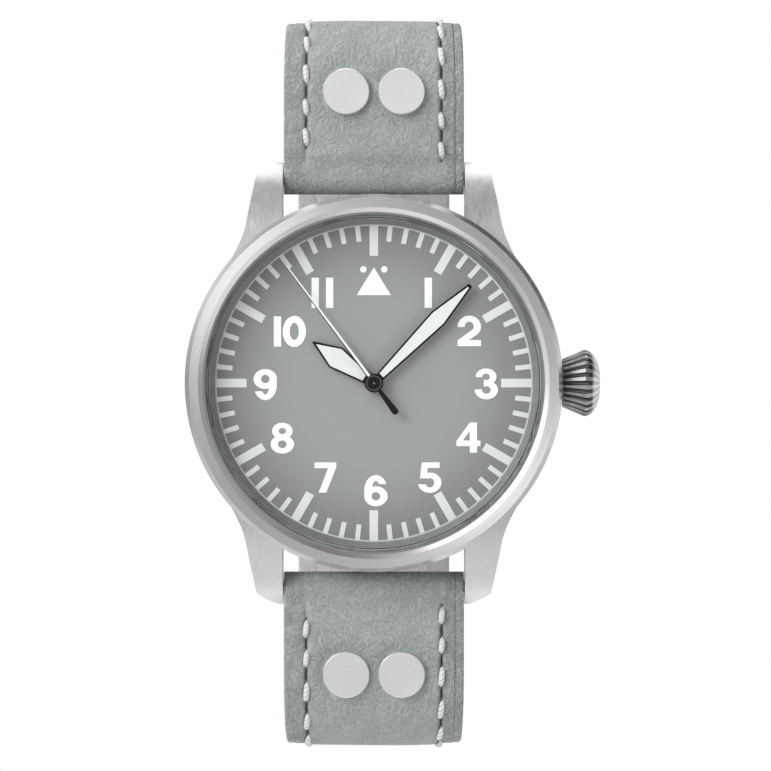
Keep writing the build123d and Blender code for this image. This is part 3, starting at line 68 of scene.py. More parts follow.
# Where the UV map of the long half starts along the strap, and its outermost column across it
second_half = 200.0
edge_column = 9.6

# Radii of the dial side, where one finish gives way to the next, and where the grey by the slot at the bezel
# ledge is painted lighter to lift its shade
dial_edge_radius = 17.52
rehaut_foot_radius, rehaut_top_radius = 17.71, 18.27
bore_painted_light_radius, bore_paint_radius = 18.5, 18.93
chamfer_radius, rim_radius = 19.44, 20.46
crown_axis_z = 5.0
needle_turn = 323.2

# Stage and camera in metres
floor_radius, floor_z = 0.1, -0.0371
camera_height, half_view = 0.41, 6.08

# The step in the long half, where it passes under the short one
step_from_y, step_to_y = 6.5, 0.5
step_run = step_from_y - step_to_y
step_half_angle = math.degrees(math.atan2(long_mid_z - tail_mid_z, step_run))
step_radius = step_run / (2 * math.sin(math.radians(2 * step_half_angle)))
short_bend_z = short_mid_z + bottom_radius
long_bend_z = long_mid_z + bottom_radius
tail_bend_radius = short_bend_z - tail_mid_z

# A station is (centre y, centre z, radius, outward normal in degrees, thickness)
lug_stations = [
    (bar_y, bar_z, 0, 90, 3.5),
    (24.4, bar_z, 0, 90, 3.5),
    (25.6, bar_z, 0, 90, 4.5),
    (corner_y, corner_z, corner_radius, 90, 3.9),
    (corner_y, corner_z, corner_radius, 0, 3.9),
]
short_stations = lug_stations + [
    (bottom_bend_y, short_bend_z, bottom_radius, 0, 2.6),
    (bottom_bend_y, short_bend_z, bottom_radius, -90, 2.6),
    (heel_y, short_bend_z, bottom_radius, -90, 2.6),
]
long_stations = lug_stations + [
    (bottom_bend_y, long_bend_z, bottom_radius, 0, 2.2),
    (bottom_bend_y, long_bend_z, bottom_radius, -90, 2.2),
    (step_from_y, long_mid_z - step_radius, -step_radius, -90, 2.2),
    (step_from_y, long_mid_z - step_radius, -step_radius, -90 + 2 * step_half_angle, 2.2),
    (step_to_y, tail_mid_z + step_radius, step_radius, -90 + 2 * step_half_angle, 2.2),
    (step_to_y, tail_mid_z + step_radius, step_radius, -90, 2.2),
    (-bottom_bend_y, short_bend_z, tail_bend_radius, -90, 2.2),
    (-bottom_bend_y, short_bend_z, tail_bend_radius, -118, 2.2),
]


# Shader trees

class Tree:
    """Short calls that add shader nodes and return their output sockets."""

    def __init__(self, tree):
        self.tree = tree

    def feed(self, socket, value):
        if isinstance(value, bpy.types.NodeSocket):
            self.tree.links.new(value, socket)
        elif value is not None:
            wide = socket.type == "RGBA" and len(value) == 3
            socket.default_value = (*value, 1.0) if wide else value

    def add(self, kind, inputs=(), output=0, **settings):
        node = self.tree.nodes.new("ShaderNode" + kind)
        for name, value in settings.items():
            setattr(node, name, value)
        pairs = inputs.items() if isinstance(inputs, dict) else enumerate(inputs)
        for key, value in pairs:
            self.feed(node.inputs[key], value)
        return node.outputs[output]

    def math(self, operation, *values):
        return self.add("Math", values, operation=operation)

    def vector(self, operation, *values):
        return self.add("VectorMath", values, operation=operation)

    def scale(self, vector, by):
        return self.vector("MULTIPLY", vector, by)

    def split(self, vector):
        node = self.tree.nodes.new("ShaderNodeSeparateXYZ")
        self.feed(node.inputs[0], vector)
        return node.outputs

    def noise(self, vector, scale, detail=2.0, roughness=0.5, distortion=0.0):
        return self.add("TexNoise", {"Vector": vector, "Scale": scale, "Detail": detail,
                                     "Roughness": roughness, "Distortion": distortion})

    def cells(self, vector, scale):
        return self.add("TexVoronoi", {"Vector": vector, "Scale": scale}, feature="F1")

    def dot(self, vector, axis):
        return self.add("VectorMath", (vector, axis), output=1, operation="DOT_PRODUCT")

    def root_sum(self, x, y):
        """(x^2 + y^2)^0.5"""
        return self.math("SQRT", self.math("ADD", self.math("MULTIPLY", x, x), self.math("MULTIPLY", y, y)))

    def span(self, value, low, high, to_low=0.0, to_high=1.0, smooth=False):
        kind = "SMOOTHSTEP" if smooth else "LINEAR"
        return self.add("MapRange", (value, low, high, to_low, to_high), interpolation_type=kind)

    def bell(self, value, centre, width):
        """exp(-((value - centre) / width)^2)"""
        away = self.math("DIVIDE", self.math("SUBTRACT", value, centre), width)
        return self.math("EXPONENT", self.math("MULTIPLY", self.math("MULTIPLY", away, away), -1.0))

    def mix(self, share, one, other):
        node = self.tree.nodes.new("ShaderNodeMix")
        node.data_type = "RGBA"
        for index, value in ((0, share), (6, one), (7, other)):
            self.feed(node.inputs[index], value)
        return node.outputs[2]

    def use(self, group, output, **inputs):
        node = self.tree.nodes.new("ShaderNodeGroup")
        node.node_tree = group
        for name, value in inputs.items():
            self.feed(node.inputs[name], value)
        return node.outputs[output]

    def place(self):
        """Object coordinates in millimetres."""
        return self.scale(self.add("TexCoord", output=3), (1000.0, 1000.0, 1000.0))

    def bump(self, height, depth_mm, strength=1.0):
        return self.add("Bump", {"Strength": strength, "Distance": depth_mm * mm, "Height": height})


def make_group(name, outputs, build):
    """A node group that turns a place into numbers; outputs are their names."""
    tree = bpy.data.node_groups.new(name, "ShaderNodeTree")
    tree.interface.new_socket("Place", in_out="INPUT", socket_type="NodeSocketVector")
    for label in outputs:
        tree.interface.new_socket(label, in_out="OUTPUT", socket_type="NodeSocketFloat")
    source = tree.nodes.new("NodeGroupInput")
    sink = tree.nodes.new("NodeGroupOutput")
    t = Tree(tree)
    for label, value in build(t, source.outputs).items():
        t.feed(sink.inputs[label], value)
    return tree


def build_polar(t, given):
    """How far a point is from the dial's axis."""
    x, y, _ = t.split(given["Place"])
    return {"Radius": t.root_sum(x, y)}


def build_streaks(t, given):
    """Brush lines: fine ones over a broad swell."""
    fine = t.noise(given["Place"], 3.0, 3.0, 0.7)
    broad = t.noise(given["Place"], 0.7, 2.0, 0.5)
    return {"Value": t.math("ADD", t.math("MULTIPLY", fine, 0.65), t.math("MULTIPLY", broad, 0.35))}


def build_wear(t, given):
    """Faint smudges, hairline scratches along two directions and specks of dust."""
    place = given["Place"]
    smudge = t.span(t.noise(place, 0.16, 3.0, 0.6, 0.4), 0.42, 0.72, smooth=True)
    one = t.noise(t.scale(place, (0.25, 9.0, 4.0)), 1.0, 1.0)
    other = t.noise(t.scale(place, (7.0, 0.3, 5.0)), 1.0, 1.0)
    line = t.span(t.math("MAXIMUM", one, other), 0.71, 0.76)
    speck = t.span(t.cells(place, 1.6), 0.0, 0.06, 1.0, 0.0)
    return {"Smudge": smudge, "Scratch": line, "Speck": speck}


def build_grain(t, given):
    """Fine pebbles drawn out along one diagonal, with soft folds that cross them."""
    place = given["Place"]
    pull = t.noise(place, 0.45, 2.0)
    bent = t.vector("ADD", place, t.scale(t.add("CombineXYZ", (pull, pull, 0.0)), (1.6, -1.6, 0.0)))
    along = t.dot(bent, (0.7, 0.7, 0.0))
    across = t.dot(bent, (-0.7, 0.7, 0.0))
    drawn = t.add("CombineXYZ", (along, t.math("MULTIPLY", across, 1.9), 0.0))
    pebble = t.span(t.noise(drawn, 2.1, 1.0, 0.5), 0.3, 0.7, smooth=True)
    small = t.span(t.noise(drawn, 4.6, 2.0, 0.6), 0.3, 0.7, smooth=True)
    fold = t.noise(t.scale(drawn, (0.5, 0.8, 1.0)), 0.55, 3.0, 0.6, 0.4)
    off_fold = t.math("ABSOLUTE", t.math("SUBTRACT", fold, 0.5))
    crease = t.math("MAXIMUM", t.math("SUBTRACT", 1.0, t.math("MULTIPLY", off_fold, 9.0)), 0.0)
    height = t.math("ADD", t.math("MULTIPLY", pebble, 0.5), t.math("MULTIPLY", small, 0.4))
    height = t.math("SUBTRACT", height, t.math("MULTIPLY", crease, 0.1))
    pore = t.span(t.cells(place, 2.6), 0.05, 0.15, 1.0, 0.0)
    return {"Height": height, "Pore": pore, "Tone": t.noise(place, 0.22, 4.0, 0.6)}


polar_group = make_group("Polar", ("Radius",), build_polar)
streak_group = make_group("Brush streaks", ("Value",), build_streaks)
wear_group = make_group("Wear", ("Smudge", "Scratch", "Speck"), build_wear)
grain_group = make_group("Leather grain", ("Height", "Pore", "Tone"), build_grain)


# Materials

def start_material(name):
    """The empty tree of a new material."""
    material = bpy.data.materials.new(name)
    material.use_nodes = True
    material.node_tree.nodes.clear()
    t = Tree(material.node_tree)
    t.material = material
    return t


def close_material(t, shader):
    sink = t.tree.nodes.new("ShaderNodeOutputMaterial")
    t.feed(sink.inputs[0], shader)
    return t.material


def principled(t, color, roughness, normal, **inputs):
    """A Principled BSDF; further names are its labels with underscores for spaces."""
    given = {name.replace("_", " "): value for name, value in inputs.items()}
    return t.add("BsdfPrincipled", {"Base Color": color, "Roughness": roughness, "Normal": normal, **given})


def toned(t, color, value, low, high):
    """A colour made darker or lighter by a value from 0 to 1."""
    dark = tuple(part * low for part in color)
    light = tuple(min(part * high, 1.0) for part in color)
    return t.mix(value, dark, light)


def brushed_metal(name, color, lines, rough=(0.24, 0.4), depth=0.004):
    """Brushed metal. lines is 'round' for turned faces or the line density along X, Y and Z."""
    t = start_material(name)
    place = t.place()
    base, roughness, normal = brushed_parts(t, place, color, lines, rough, depth)
    return close_material(t, principled(t, base, roughness, normal, Metallic=1.0))


def brushed_parts(t, place, color, lines, rough, depth):
    """Colour, roughness and normal of a brushed face."""
    if lines == "round":
        radius = t.use(polar_group, "Radius", Place=place)
        _, _, z = t.split(place)
        unit = t.vector("NORMALIZE", t.scale(place, (1.0, 1.0, 0.0)))
        across = t.math("ADD", t.math("MULTIPLY", radius, 9.0), t.math("MULTIPLY", z, 7.0))
        along = t.vector("ADD", t.scale(unit, (1.2, 1.2, 0.0)), t.add("CombineXYZ", (0.0, 0.0, across)))
    else:
        along = t.scale(place, lines)
    streak = t.use(streak_group, "Value", Place=along)
    smudge = t.use(wear_group, "Smudge", Place=place)
    scratch = t.use(wear_group, "Scratch", Place=place)
    base = toned(t, color, t.span(streak, 0.3, 0.7), 0.86, 1.1)
    base = t.mix(t.math("MULTIPLY", scratch, 0.35), base, tuple(min(part * 1.25, 1.0) for part in color))
    roughness = t.math("ADD", t.span(streak, 0.3, 0.7, *rough), t.math("MULTIPLY", smudge, 0.07))
    height = t.math("SUBTRACT", streak, t.math("MULTIPLY", scratch, 0.6))
    return base, roughness, t.bump(height, depth, 0.6)


flange_greys = (0.185, 0.193, 0.193), (0.215, 0.222, 0.222)
# painted light: a lighter grey that lifts the shade in the slot between the rehaut top and the bezel ledge
slot_painted_light = (0.5, 0.51, 0.51)


def bezel_material(color):
    """Flat ring turned in circles, polished rim outside it, grey paint on the bore below the chamfer, painted
    light near the ledge to lift the shade of the slot there.
    """
    t = start_material("bezel steel, turned, with a polished rim")
    place = t.place()
    radius = t.use(polar_group, "Radius", Place=place)
    base, roughness, normal = brushed_parts(t, place, color, "round", (0.36, 0.46), 0.003)
    rim = t.math("GREATER_THAN", radius, rim_radius)
    chamfer = t.math("LESS_THAN", radius, chamfer_radius)
    flat = t.math("SUBTRACT", 1.0, t.math("MAXIMUM", rim, chamfer))
    roughness = t.math("MULTIPLY", roughness, t.span(flat, 0.0, 1.0, 0.45, 1.0))
    tangent = t.tree.nodes.new("ShaderNodeTangent")
    tangent.direction_type = "RADIAL"
    tangent.axis = "Z"
    steel_face = principled(t, base, roughness, normal, Metallic=1.0,
                            Anisotropic=t.math("MULTIPLY", flat, 0.85), Anisotropic_Rotation=0.25,
                            Tangent=tangent.outputs[0])
    fine = t.noise(place, 7.0, 3.0, 0.7)
    grey = t.mix(fine, *flange_greys)
    # painted light: the bore by the ledge is lighter, lifting the slot's shade
    grey = t.mix(t.math("LESS_THAN", radius, bore_painted_light_radius), grey, slot_painted_light)
    paint = principled(t, grey, 0.5, t.bump(fine, 0.003, 0.4))
    painted_part = t.math("LESS_THAN", radius, bore_paint_radius)
    return close_material(t, t.add("MixShader", (painted_part, steel_face, paint)))


def crown_material(color):
    """Ribs brushed along the stem, with painted shade in the grooves between them and on the ribs near the
    case, and a domed end painted lighter.
    """
    t = start_material("crown steel")
    place = t.place()
    base, roughness, normal = brushed_parts(t, place, color, (0.5, 6.0, 6.0), (0.28, 0.4), 0.004)
    x, y, z = t.split(place)
    turn = t.math("ARCTAN2", y, t.math("SUBTRACT", z, crown_axis_z))
    wave = t.math("COSINE", t.math("MULTIPLY", turn, 24.0))
    # painted shade: the grooves between the ribs are darkened, less so on the domed end
    groove = t.math("MULTIPLY", t.span(wave, -0.25, 0.15, smooth=True), t.span(x, 24.2, 24.45, 1.0, 0.45))
    base = t.mix(t.math("MULTIPLY", groove, 0.88), base, (0.03, 0.03, 0.032))
    # painted shade and light: darker near the case, lighter on the domed end
    rib_shade_and_light = t.span(x, 24.2, 24.5, 0.62, 1.25)
    base = t.vector("MULTIPLY", base, t.add("CombineXYZ", (rib_shade_and_light, rib_shade_and_light, rib_shade_and_light)))
    return close_material(t, principled(t, base, roughness, normal, Metallic=1.0))


def satin_metal(name, color, roughness=0.3, grain=6.0, depth=0.002, arbor=None):
    """Bead-blasted, plated or polished metal; arbor is the radius of a steel core on the dial's axis."""
    t = start_material(name)
    place = t.place()
    fine = t.noise(place, grain, 3.0, 0.6)
    smudge = t.use(wear_group, "Smudge", Place=place)
    speck = t.use(wear_group, "Speck", Place=place)
    base = toned(t, color, fine, 0.88, 1.08)
    base = t.mix(t.math("MULTIPLY", speck, 0.3), base, tuple(part * 0.55 for part in color))
    if arbor:
        radius = t.use(polar_group, "Radius", Place=place)
        base = t.mix(t.math("LESS_THAN", radius, arbor), base, (0.3, 0.3, 0.31))
    rough = t.math("ADD", t.math("MULTIPLY", smudge, 0.1), roughness)
    return close_material(t, principled(t, base, rough, t.bump(fine, depth, 0.5), Metallic=1.0))


def painted(name, color, roughness=0.45, grain=9.0, depth=0.004, specular=0.5):
    """Paint, lume, lacquer or plastic: fine grain, faint mottling and specks of dust."""
    t = start_material(name)
    place = t.place()
    fine = t.noise(place, grain, 3.0, 0.65)
    broad = t.noise(place, 0.5, 2.0)
    speck = t.use(wear_group, "Speck", Place=place)
    mottle = t.math("ADD", t.math("MULTIPLY", fine, 0.6), t.math("MULTIPLY", broad, 0.4))
    base = toned(t, color, mottle, 0.93, 1.04)
    base = t.mix(t.math("MULTIPLY", speck, 0.12), base, tuple(part * 0.8 for part in color))
    return close_material(t, principled(t, base, roughness, t.bump(fine, depth, 0.5),
                                        Specular_IOR_Level=specular))


def dial_material():
    """Grey lacquer with painted shade: lighter in the middle and darker towards the edge."""
    t = start_material("dial grey lacquer")
    place = t.place()
    radius = t.use(polar_group, "Radius", Place=place)
    fine = t.noise(place, 7.0, 3.0, 0.7)
    # painted shade: darker towards the edge
    base = t.mix(t.span(radius, 8.5, 18.5, smooth=True), (0.293, 0.302, 0.302), (0.2, 0.206, 0.206))
    base = t.mix(t.math("MULTIPLY", fine, 0.07), base, (0.5, 0.5, 0.5))
    base = t.mix(t.math("GREATER_THAN", radius, dial_edge_radius), base, (0.55, 0.56, 0.56))
    return close_material(t, principled(t, base, 0.5, t.bump(fine, 0.003, 0.4)))


def rehaut_material():
    """The grey inner flange, with a lighter band where it meets the dial, and painted light at its top to
    lift the shade of the slot by the bezel ledge.
    """
    t = start_material("rehaut grey")
    place = t.place()
    radius = t.use(polar_group, "Radius", Place=place)
    fine = t.noise(place, 7.0, 3.0, 0.7)
    base = t.mix(fine, *flange_greys)
    base = t.mix(t.math("LESS_THAN", radius, rehaut_foot_radius), base, (0.45, 0.46, 0.46))
    # painted light: the rehaut's top is lighter, lifting the slot's shade
    base = t.mix(t.math("GREATER_THAN", radius, rehaut_top_radius), base, slot_painted_light)
    return close_material(t, principled(t, base, 0.5, t.bump(fine, 0.003, 0.4)))


def needle_material():
    """The seconds needle: white, with a black strip along one long edge."""
    t = start_material("seconds needle, white on black")
    place = t.place()
    lean = math.radians(needle_turn)
    across = t.dot(place, (math.cos(lean), -math.sin(lean), 0.0))
    radius = t.use(polar_group, "Radius", Place=place)
    fine = t.noise(place, 5.0, 3.0, 0.65)
    stripe = t.math("GREATER_THAN", across, t.span(radius, 1.0, 16.2, -0.08, -0.03))
    base = t.mix(stripe, (0.02, 0.02, 0.021), t.mix(fine, (0.78, 0.79, 0.78), (0.86, 0.87, 0.86)))
    return close_material(t, principled(t, base, 0.4, t.bump(fine, 0.001, 0.5)))


def hub_material():
    """Black lacquer with a painted highlight: a fine light ring round the pin."""
    t = start_material("hub lacquer with a painted highlight ring")
    place = t.place()
    radius = t.use(polar_group, "Radius", Place=place)
    fine = t.noise(place, 5.0, 3.0, 0.65)
    # painted highlight: a light ring where the hub's edge would catch a glint
    ring = t.bell(radius, 0.8, 0.045)
    base = t.mix(ring, t.mix(fine, (0.006, 0.006, 0.007), (0.009, 0.009, 0.01)), (0.12, 0.12, 0.12))
    return close_material(t, principled(t, base, 0.3, t.bump(fine, 0.001, 0.5), Specular_IOR_Level=0.25))


def crystal_material():
    """Clear coated crystal: almost all light goes through, with a weak reflection and faint smears.

    Only faces seen from outside reflect, or the inner ones would turn into mirrors at a low angle.
    """
    t = start_material("crystal glass")
    smudge = t.use(wear_group, "Smudge", Place=t.place())
    clear = t.add("BsdfTransparent", {"Color": (0.985, 0.99, 0.985)})
    gloss = t.add("BsdfGlossy", {"Color": (1.0, 1.0, 1.0), "Roughness": t.span(smudge, 0.0, 1.0, 0.02, 0.08)})
    edge = t.add("LayerWeight", {"Blend": 0.12}, output=0)
    front = t.math("SUBTRACT", 1.0, t.add("NewGeometry", output="Backfacing"))
    share = t.math("MULTIPLY", t.math("MULTIPLY", edge, 0.5), front)
    return close_material(t, t.add("MixShader", (share, clear, gloss)))


def on_one_half(t, across, along):
    """Place on a half of the strap, counted from its own lug; the second half starts at second_half."""
    second = t.math("GREATER_THAN", along, second_half / 2)
    local = t.math("MULTIPLY_ADD", second, -second_half, along)
    facing = t.math("MULTIPLY", across, t.math("MULTIPLY_ADD", second, -2.0, 1.0))
    return facing, local


def stitch_shade(t, across, along):
    """Painted shade in the needle holes and the groove between the stitches."""
    facing, local = on_one_half(t, across, along)
    later = t.math("LESS_THAN", facing, 0.0)
    first = t.math("MULTIPLY_ADD", later, stitch_start_far - stitch_start_near, stitch_start_near)
    cycle = t.math("PINGPONG", t.math("SUBTRACT", local, first), stitch_pitch / 2)
    between = t.span(cycle, 0.85, 1.3, 0.2, 1.0, smooth=True)
    line = t.bell(t.math("ABSOLUTE", across), stitch_line, 0.15)
    started = t.math("GREATER_THAN", local, t.math("SUBTRACT", first, 1.3))
    return t.math("MULTIPLY", t.math("MULTIPLY", line, between), started)


def rivet_creases(t, across, along):
    """Fine wrinkles that run out from the pressed rivet heads."""
    _, local = on_one_half(t, across, along)
    x = t.math("SUBTRACT", t.math("ABSOLUTE", across), rivet_x)
    y = t.math("SUBTRACT", local, rivet_along)
    away = t.root_sum(x, y)
    ray = t.scale(t.vector("NORMALIZE", t.add("CombineXYZ", (x, y, 0.0))), (13.0, 13.0, 0.0))
    rays = t.noise(t.vector("ADD", ray, t.add("CombineXYZ", (0.0, 0.0, away))), 1.0, 2.0)
    near = t.math("MULTIPLY", t.span(away, 2.6, 3.1), t.span(away, 3.4, 5.8, 1.0, 0.0, smooth=True))
    return t.math("MULTIPLY", t.span(rays, 0.35, 0.65, smooth=True), near)


def leather_material(name, color, dark, sewn, grain_depth=0.115):
    """Soft grey leather. The UV map holds millimetres: across the strap, then along it.

    sewn: with the rougher edge, the rivets' creases and the painted shade in the needle holes of the strap's
    outer face.
    """
    t = start_material(name)
    flat = t.add("UVMap", uv_map="strap")
    across, along, _ = t.split(flat)
    height = t.use(grain_group, "Height", Place=flat)
    pore = t.use(grain_group, "Pore", Place=flat)
    tone = t.use(grain_group, "Tone", Place=flat)
    wide = t.noise(t.scale(flat, (1.0, 0.5, 1.0)), 0.12, 2.0)
    # partly painted shade: the grain's low parts are darker, mixed with a random tone
    mottle = t.math("ADD", t.math("MULTIPLY", tone, 0.4), t.math("MULTIPLY", height, 0.6))
    base = t.mix(t.span(mottle, 0.2, 0.85), dark, color)
    base = t.mix(t.math("MULTIPLY", pore, 0.12), base, tuple(part * 0.55 for part in dark))
    base = t.mix(t.span(wide, 0.35, 0.7), base, t.mix(0.08, base, (0.52, 0.54, 0.545)))
    relief = t.math("SUBTRACT", height, t.math("MULTIPLY", pore, 0.3))
    if sewn:
        side = t.math("ABSOLUTE", across)
        rough_edge = t.span(side, 7.6, 8.0, 1.0, 2.0)
        bead = t.span(side, 8.85, 9.0, 0.0, 2.0, smooth=True)
        rays = t.math("MULTIPLY", rivet_creases(t, across, along), 0.9)
        relief = t.math("SUBTRACT", t.math("ADD", t.math("MULTIPLY", relief, rough_edge), rays), bead)
        # painted shade: near black in the needle holes and groove between the stitches
        base = t.mix(stitch_shade(t, across, along), base, (0.012, 0.013, 0.014))
    rough = t.span(height, 0.1, 0.9, 0.62, 0.5)
    return close_material(t, principled(t, base, rough, t.bump(relief, grain_depth),
                                        Sheen_Weight=0.06, Sheen_Roughness=0.5, Specular_IOR_Level=0.4))


def thread_material():
    """Waxed off-white thread: two plies twisted round each other, with fine fibres and painted shade in the
    groove between the plies.
    """
    t = start_material("stitching thread")
    flat = t.add("UVMap", uv_map="thread")
    around, along, _ = t.split(flat)
    twist = t.math("ADD", t.math("MULTIPLY", around, 2.0), t.math("MULTIPLY", along, 2.2))
    ply = t.math("ABSOLUTE", t.math("SINE", t.math("MULTIPLY", twist, math.pi)))
    fibre = t.noise(t.scale(t.add("CombineXYZ", (twist, along, 0.0)), (9.0, 1.0, 1.0)), 2.0, 2.0)
    # painted shade: dark where the two plies meet
    line = t.span(ply, 0.0, 0.35, smooth=True)
    light = t.math("MULTIPLY", line, t.span(fibre, 0.2, 0.8, 0.85, 1.0))
    base = t.mix(light, (0.3, 0.31, 0.315), (0.66, 0.67, 0.665))
    height = t.math("ADD", line, t.math("MULTIPLY", fibre, 0.3))
    return close_material(t, principled(t, base, 0.5, t.bump(height, 0.05, 0.7), Sheen_Weight=0.1))


def give(material, *names):
    """Puts a material on CAD nodes."""
    for name in names:
        mesh = nodes[name].data
        mesh.materials.clear()
        mesh.materials.append(material)


steel = (0.62, 0.62, 0.615)
give(brushed_metal("case steel, brushed along the flanks", steel, (5.0, 0.35, 5.0)), "case_middle")
give(brushed_metal("back steel, turned", steel, "round"), "case_back")
give(bezel_material((0.68, 0.68, 0.675)), "bezel")
give(crown_material(steel), "crown")
give(crystal_material(), "crystal")
give(painted("crystal gasket, grey", (0.185, 0.192, 0.192), 0.5), "crystal_gasket")
give(painted("black rubber", (0.02, 0.02, 0.021), 0.6), "case_back_gasket", "crown_gasket")
give(rehaut_material(), "rehaut_ring")
give(dial_material(), "dial")
give(painted("baton paint", (0.72, 0.73, 0.73), 0.55, 14.0, 0.006), "dial_batons")
give(painted("numeral lume", (0.93, 0.94, 0.93), 0.6, 16.0, 0.01), "dial_numerals")
give(painted("black hand lacquer", (0.006, 0.006, 0.007), 0.3, 5.0, 0.001, 0.2), "hour_hand", "minute_hand")
give(hub_material(), "seconds_hand_hub")
give(painted("hand lume", (0.74, 0.75, 0.75), 0.6, 16.0, 0.01), "hour_hand_lume", "minute_hand_lume")
give(needle_material(), "seconds_hand")
give(brushed_metal("nickel plate, striped", (0.66, 0.65, 0.63), (0.7, 0.7, 2.0), (0.25, 0.38)),
     "mainplate", "barrel_bridge", "train_bridge", "balance_cock")
give(satin_metal("gilt brass", (0.78, 0.6, 0.28), 0.26),
     "barrel", "center_wheel", "third_wheel", "minute_wheel", "hour_wheel", "balance_wheel")
give(satin_metal("gilt brass on a steel arbor", (0.78, 0.6, 0.28), 0.26, arbor=0.7), "fourth_wheel")
give(satin_metal("polished hard steel", (0.6, 0.6, 0.6), 0.16),
     "barrel_arbor", "ratchet_wheel", "crown_wheel", "cannon_pinion", "escape_wheel", "pallet_fork",
     "crown_tube", "winding_stem", "winding_pinion", "sliding_pinion", "setting_lever", "rotor_bearing",
     "movement_clamps", "mainspring")
give(satin_metal("blued steel", (0.06, 0.09, 0.3), 0.18), "clamp_screws", "bridge_screws", "hairspring")
give(brushed_metal("rotor, turned", (0.58, 0.57, 0.55), "round"), "rotor")
give(painted("movement ring plastic", (0.5, 0.5, 0.49), 0.5), "movement_ring")
give(satin_metal("satin rivet", (0.76, 0.77, 0.77), 0.42, 4.0, 0.001), "rivets")
give(satin_metal("spring bar steel", (0.5, 0.5, 0.5), 0.25), "spring_bars", "buckle_bar")
give(brushed_metal("buckle steel, brushed", steel, (0.5, 5.0, 5.0)), "buckle_frame")
give(brushed_metal("tongue steel, brushed", steel, (6.0, 0.5, 2.0)), "buckle_tongue")


# Strap surfaces

def half_width(z):
    """Full at the top of the loop, narrow at the bottom, straight between."""
    share = np.clip((taper_top_z - z) / (taper_top_z - taper_low_z), 0, 1)
    return half_width_top + (half_width_low - half_width_top) * share


def walk(stations, step=0.4):
    """Samples of the strap's middle line: positions (y, z), outward normals, thicknesses, lengths."""
    rows = []
    for first, second in zip(stations, stations[1:]):
        cy, cz, radius, turn, thick = first
        next_cy, next_cz, next_radius, next_turn, next_thick = second
        run = math.hypot(next_cy - cy, next_cz - cz) + abs(math.radians(next_turn - turn) * radius)
        if run < 1e-6 and abs(next_turn - turn) < 1e-6:
            continue
        count = max(int(run / step), 2)
        share = np.linspace(0, 1, count, endpoint=False)
        if turn == next_turn:
            angle = np.full(count, math.radians(turn))
            out = np.array((math.cos(angle[0]), math.sin(angle[0])))
            start = np.array((cy, cz)) + radius * out
            end = np.array((next_cy, next_cz)) + next_radius * out
            spot = start + (end - start) * share[:, None]
        else:
            angle = np.radians(turn + (next_turn - turn) * share)
            spot = np.array((cy, cz)) + radius * np.stack((np.cos(angle), np.sin(angle)), 1)
        thicks = thick + (next_thick - thick) * share
        rows.append(np.column_stack((spot, np.cos(angle), np.sin(angle), thicks)))
    cy, cz, radius, turn, thick = stations[-1]
    out_y, out_z = math.cos(math.radians(turn)), math.sin(math.radians(turn))
    rows = np.vstack(rows + [np.array([(cy + radius * out_y, cz + radius * out_z, out_y, out_z, thick)])])
    gaps = np.hypot(*(rows[1:, :2] - rows[:-1, :2]).T)
    length = np.concatenate(([0], np.cumsum(gaps)))
    keep = np.concatenate(([True], gaps > 1e-6))
    return rows[keep, :2], rows[keep, 2:4], rows[keep, 4], length[keep]


def smooth_share(value, low, high):
    """3t^2 - 2t^3 of the clipped share between low and high."""
    t = np.clip((value - low) / (high - low), 0, 1)
    return t * t * (3 - 2 * t)


def tube_faces(rows, columns):
    """Quads of a grid that closes on itself across its columns."""
    i, j = np.meshgrid(np.arange(rows - 1), np.arange(columns), indexing="ij")
    k = (j + 1) % columns
    return np.stack((i * columns + j, i * columns + k, (i + 1) * columns + k, (i + 1) * columns + j), -1)


def corner_uv(rows, columns, across, along):
    """The UV of each face corner; the seam column runs on instead of jumping back."""
    i, j = np.meshgrid(np.arange(rows - 1), np.arange(columns), indexing="ij")
    u = np.stack((across[i, j], across[i, j + 1], across[i + 1, j + 1], across[i + 1, j]), -1)
    v = np.stack((along[i], along[i], along[i + 1], along[i + 1]), -1)
    return np.stack((u, v), -1)


def solid_tool(points, faces):
    """A closed cutting tool from points in millimetres."""
    mesh = bpy.data.meshes.new("tool")
    mesh.from_pydata((np.asarray(points) * mm).tolist(), [], faces)
    tool = bpy.data.objects.new("tool", mesh)
    bpy.context.scene.collection.objects.link(tool)
    return tool


def box_tool(x_half, corners):
    """A prism along X whose side view is four (y, z) corners."""
    points = [(side * x_half, y, z) for side in (-1, 1) for y, z in corners]
    faces = [(3, 2, 1, 0), (4, 5, 6, 7), (0, 1, 5, 4), (1, 2, 6, 5), (2, 3, 7, 6), (3, 0, 4, 7)]
    return solid_tool(points, faces)


def hole_tool(y, sides=40):
    """An upright cylinder through both layers of the long half."""
    turn = np.linspace(0, 2 * np.pi, sides, endpoint=False)
    rim = np.stack((-np.sin(turn), np.cos(turn), np.zeros(sides)), 1) * hole_radius
    faces = [(k, (k + 1) % sides, sides + (k + 1) % sides, sides + k) for k in range(sides)]
    faces += [tuple(range(sides))[::-1], tuple(range(sides, 2 * sides))]
    return solid_tool(np.vstack((rim + (0.0, y, -38.0), rim + (0.0, y, -24.0))), faces)


def carve(piece, tools, pinched):
    """Cuts closed tools out of a piece and keeps the result as its mesh.

    pinched: the piece's folded ends meet in a line, which the cut has to put up with.
    """
    for tool in tools:
        cut = piece.modifiers.new("cut", "BOOLEAN")
        cut.operation = "DIFFERENCE"
        cut.solver = "EXACT"
        cut.use_hole_tolerant = pinched
        cut.object = tool
    graph = bpy.context.evaluated_depsgraph_get()
    result = bpy.data.meshes.new_from_object(piece.evaluated_get(graph))
    piece.modifiers.clear()
    piece.data = result
    for tool in tools:
        bpy.data.objects.remove(tool)


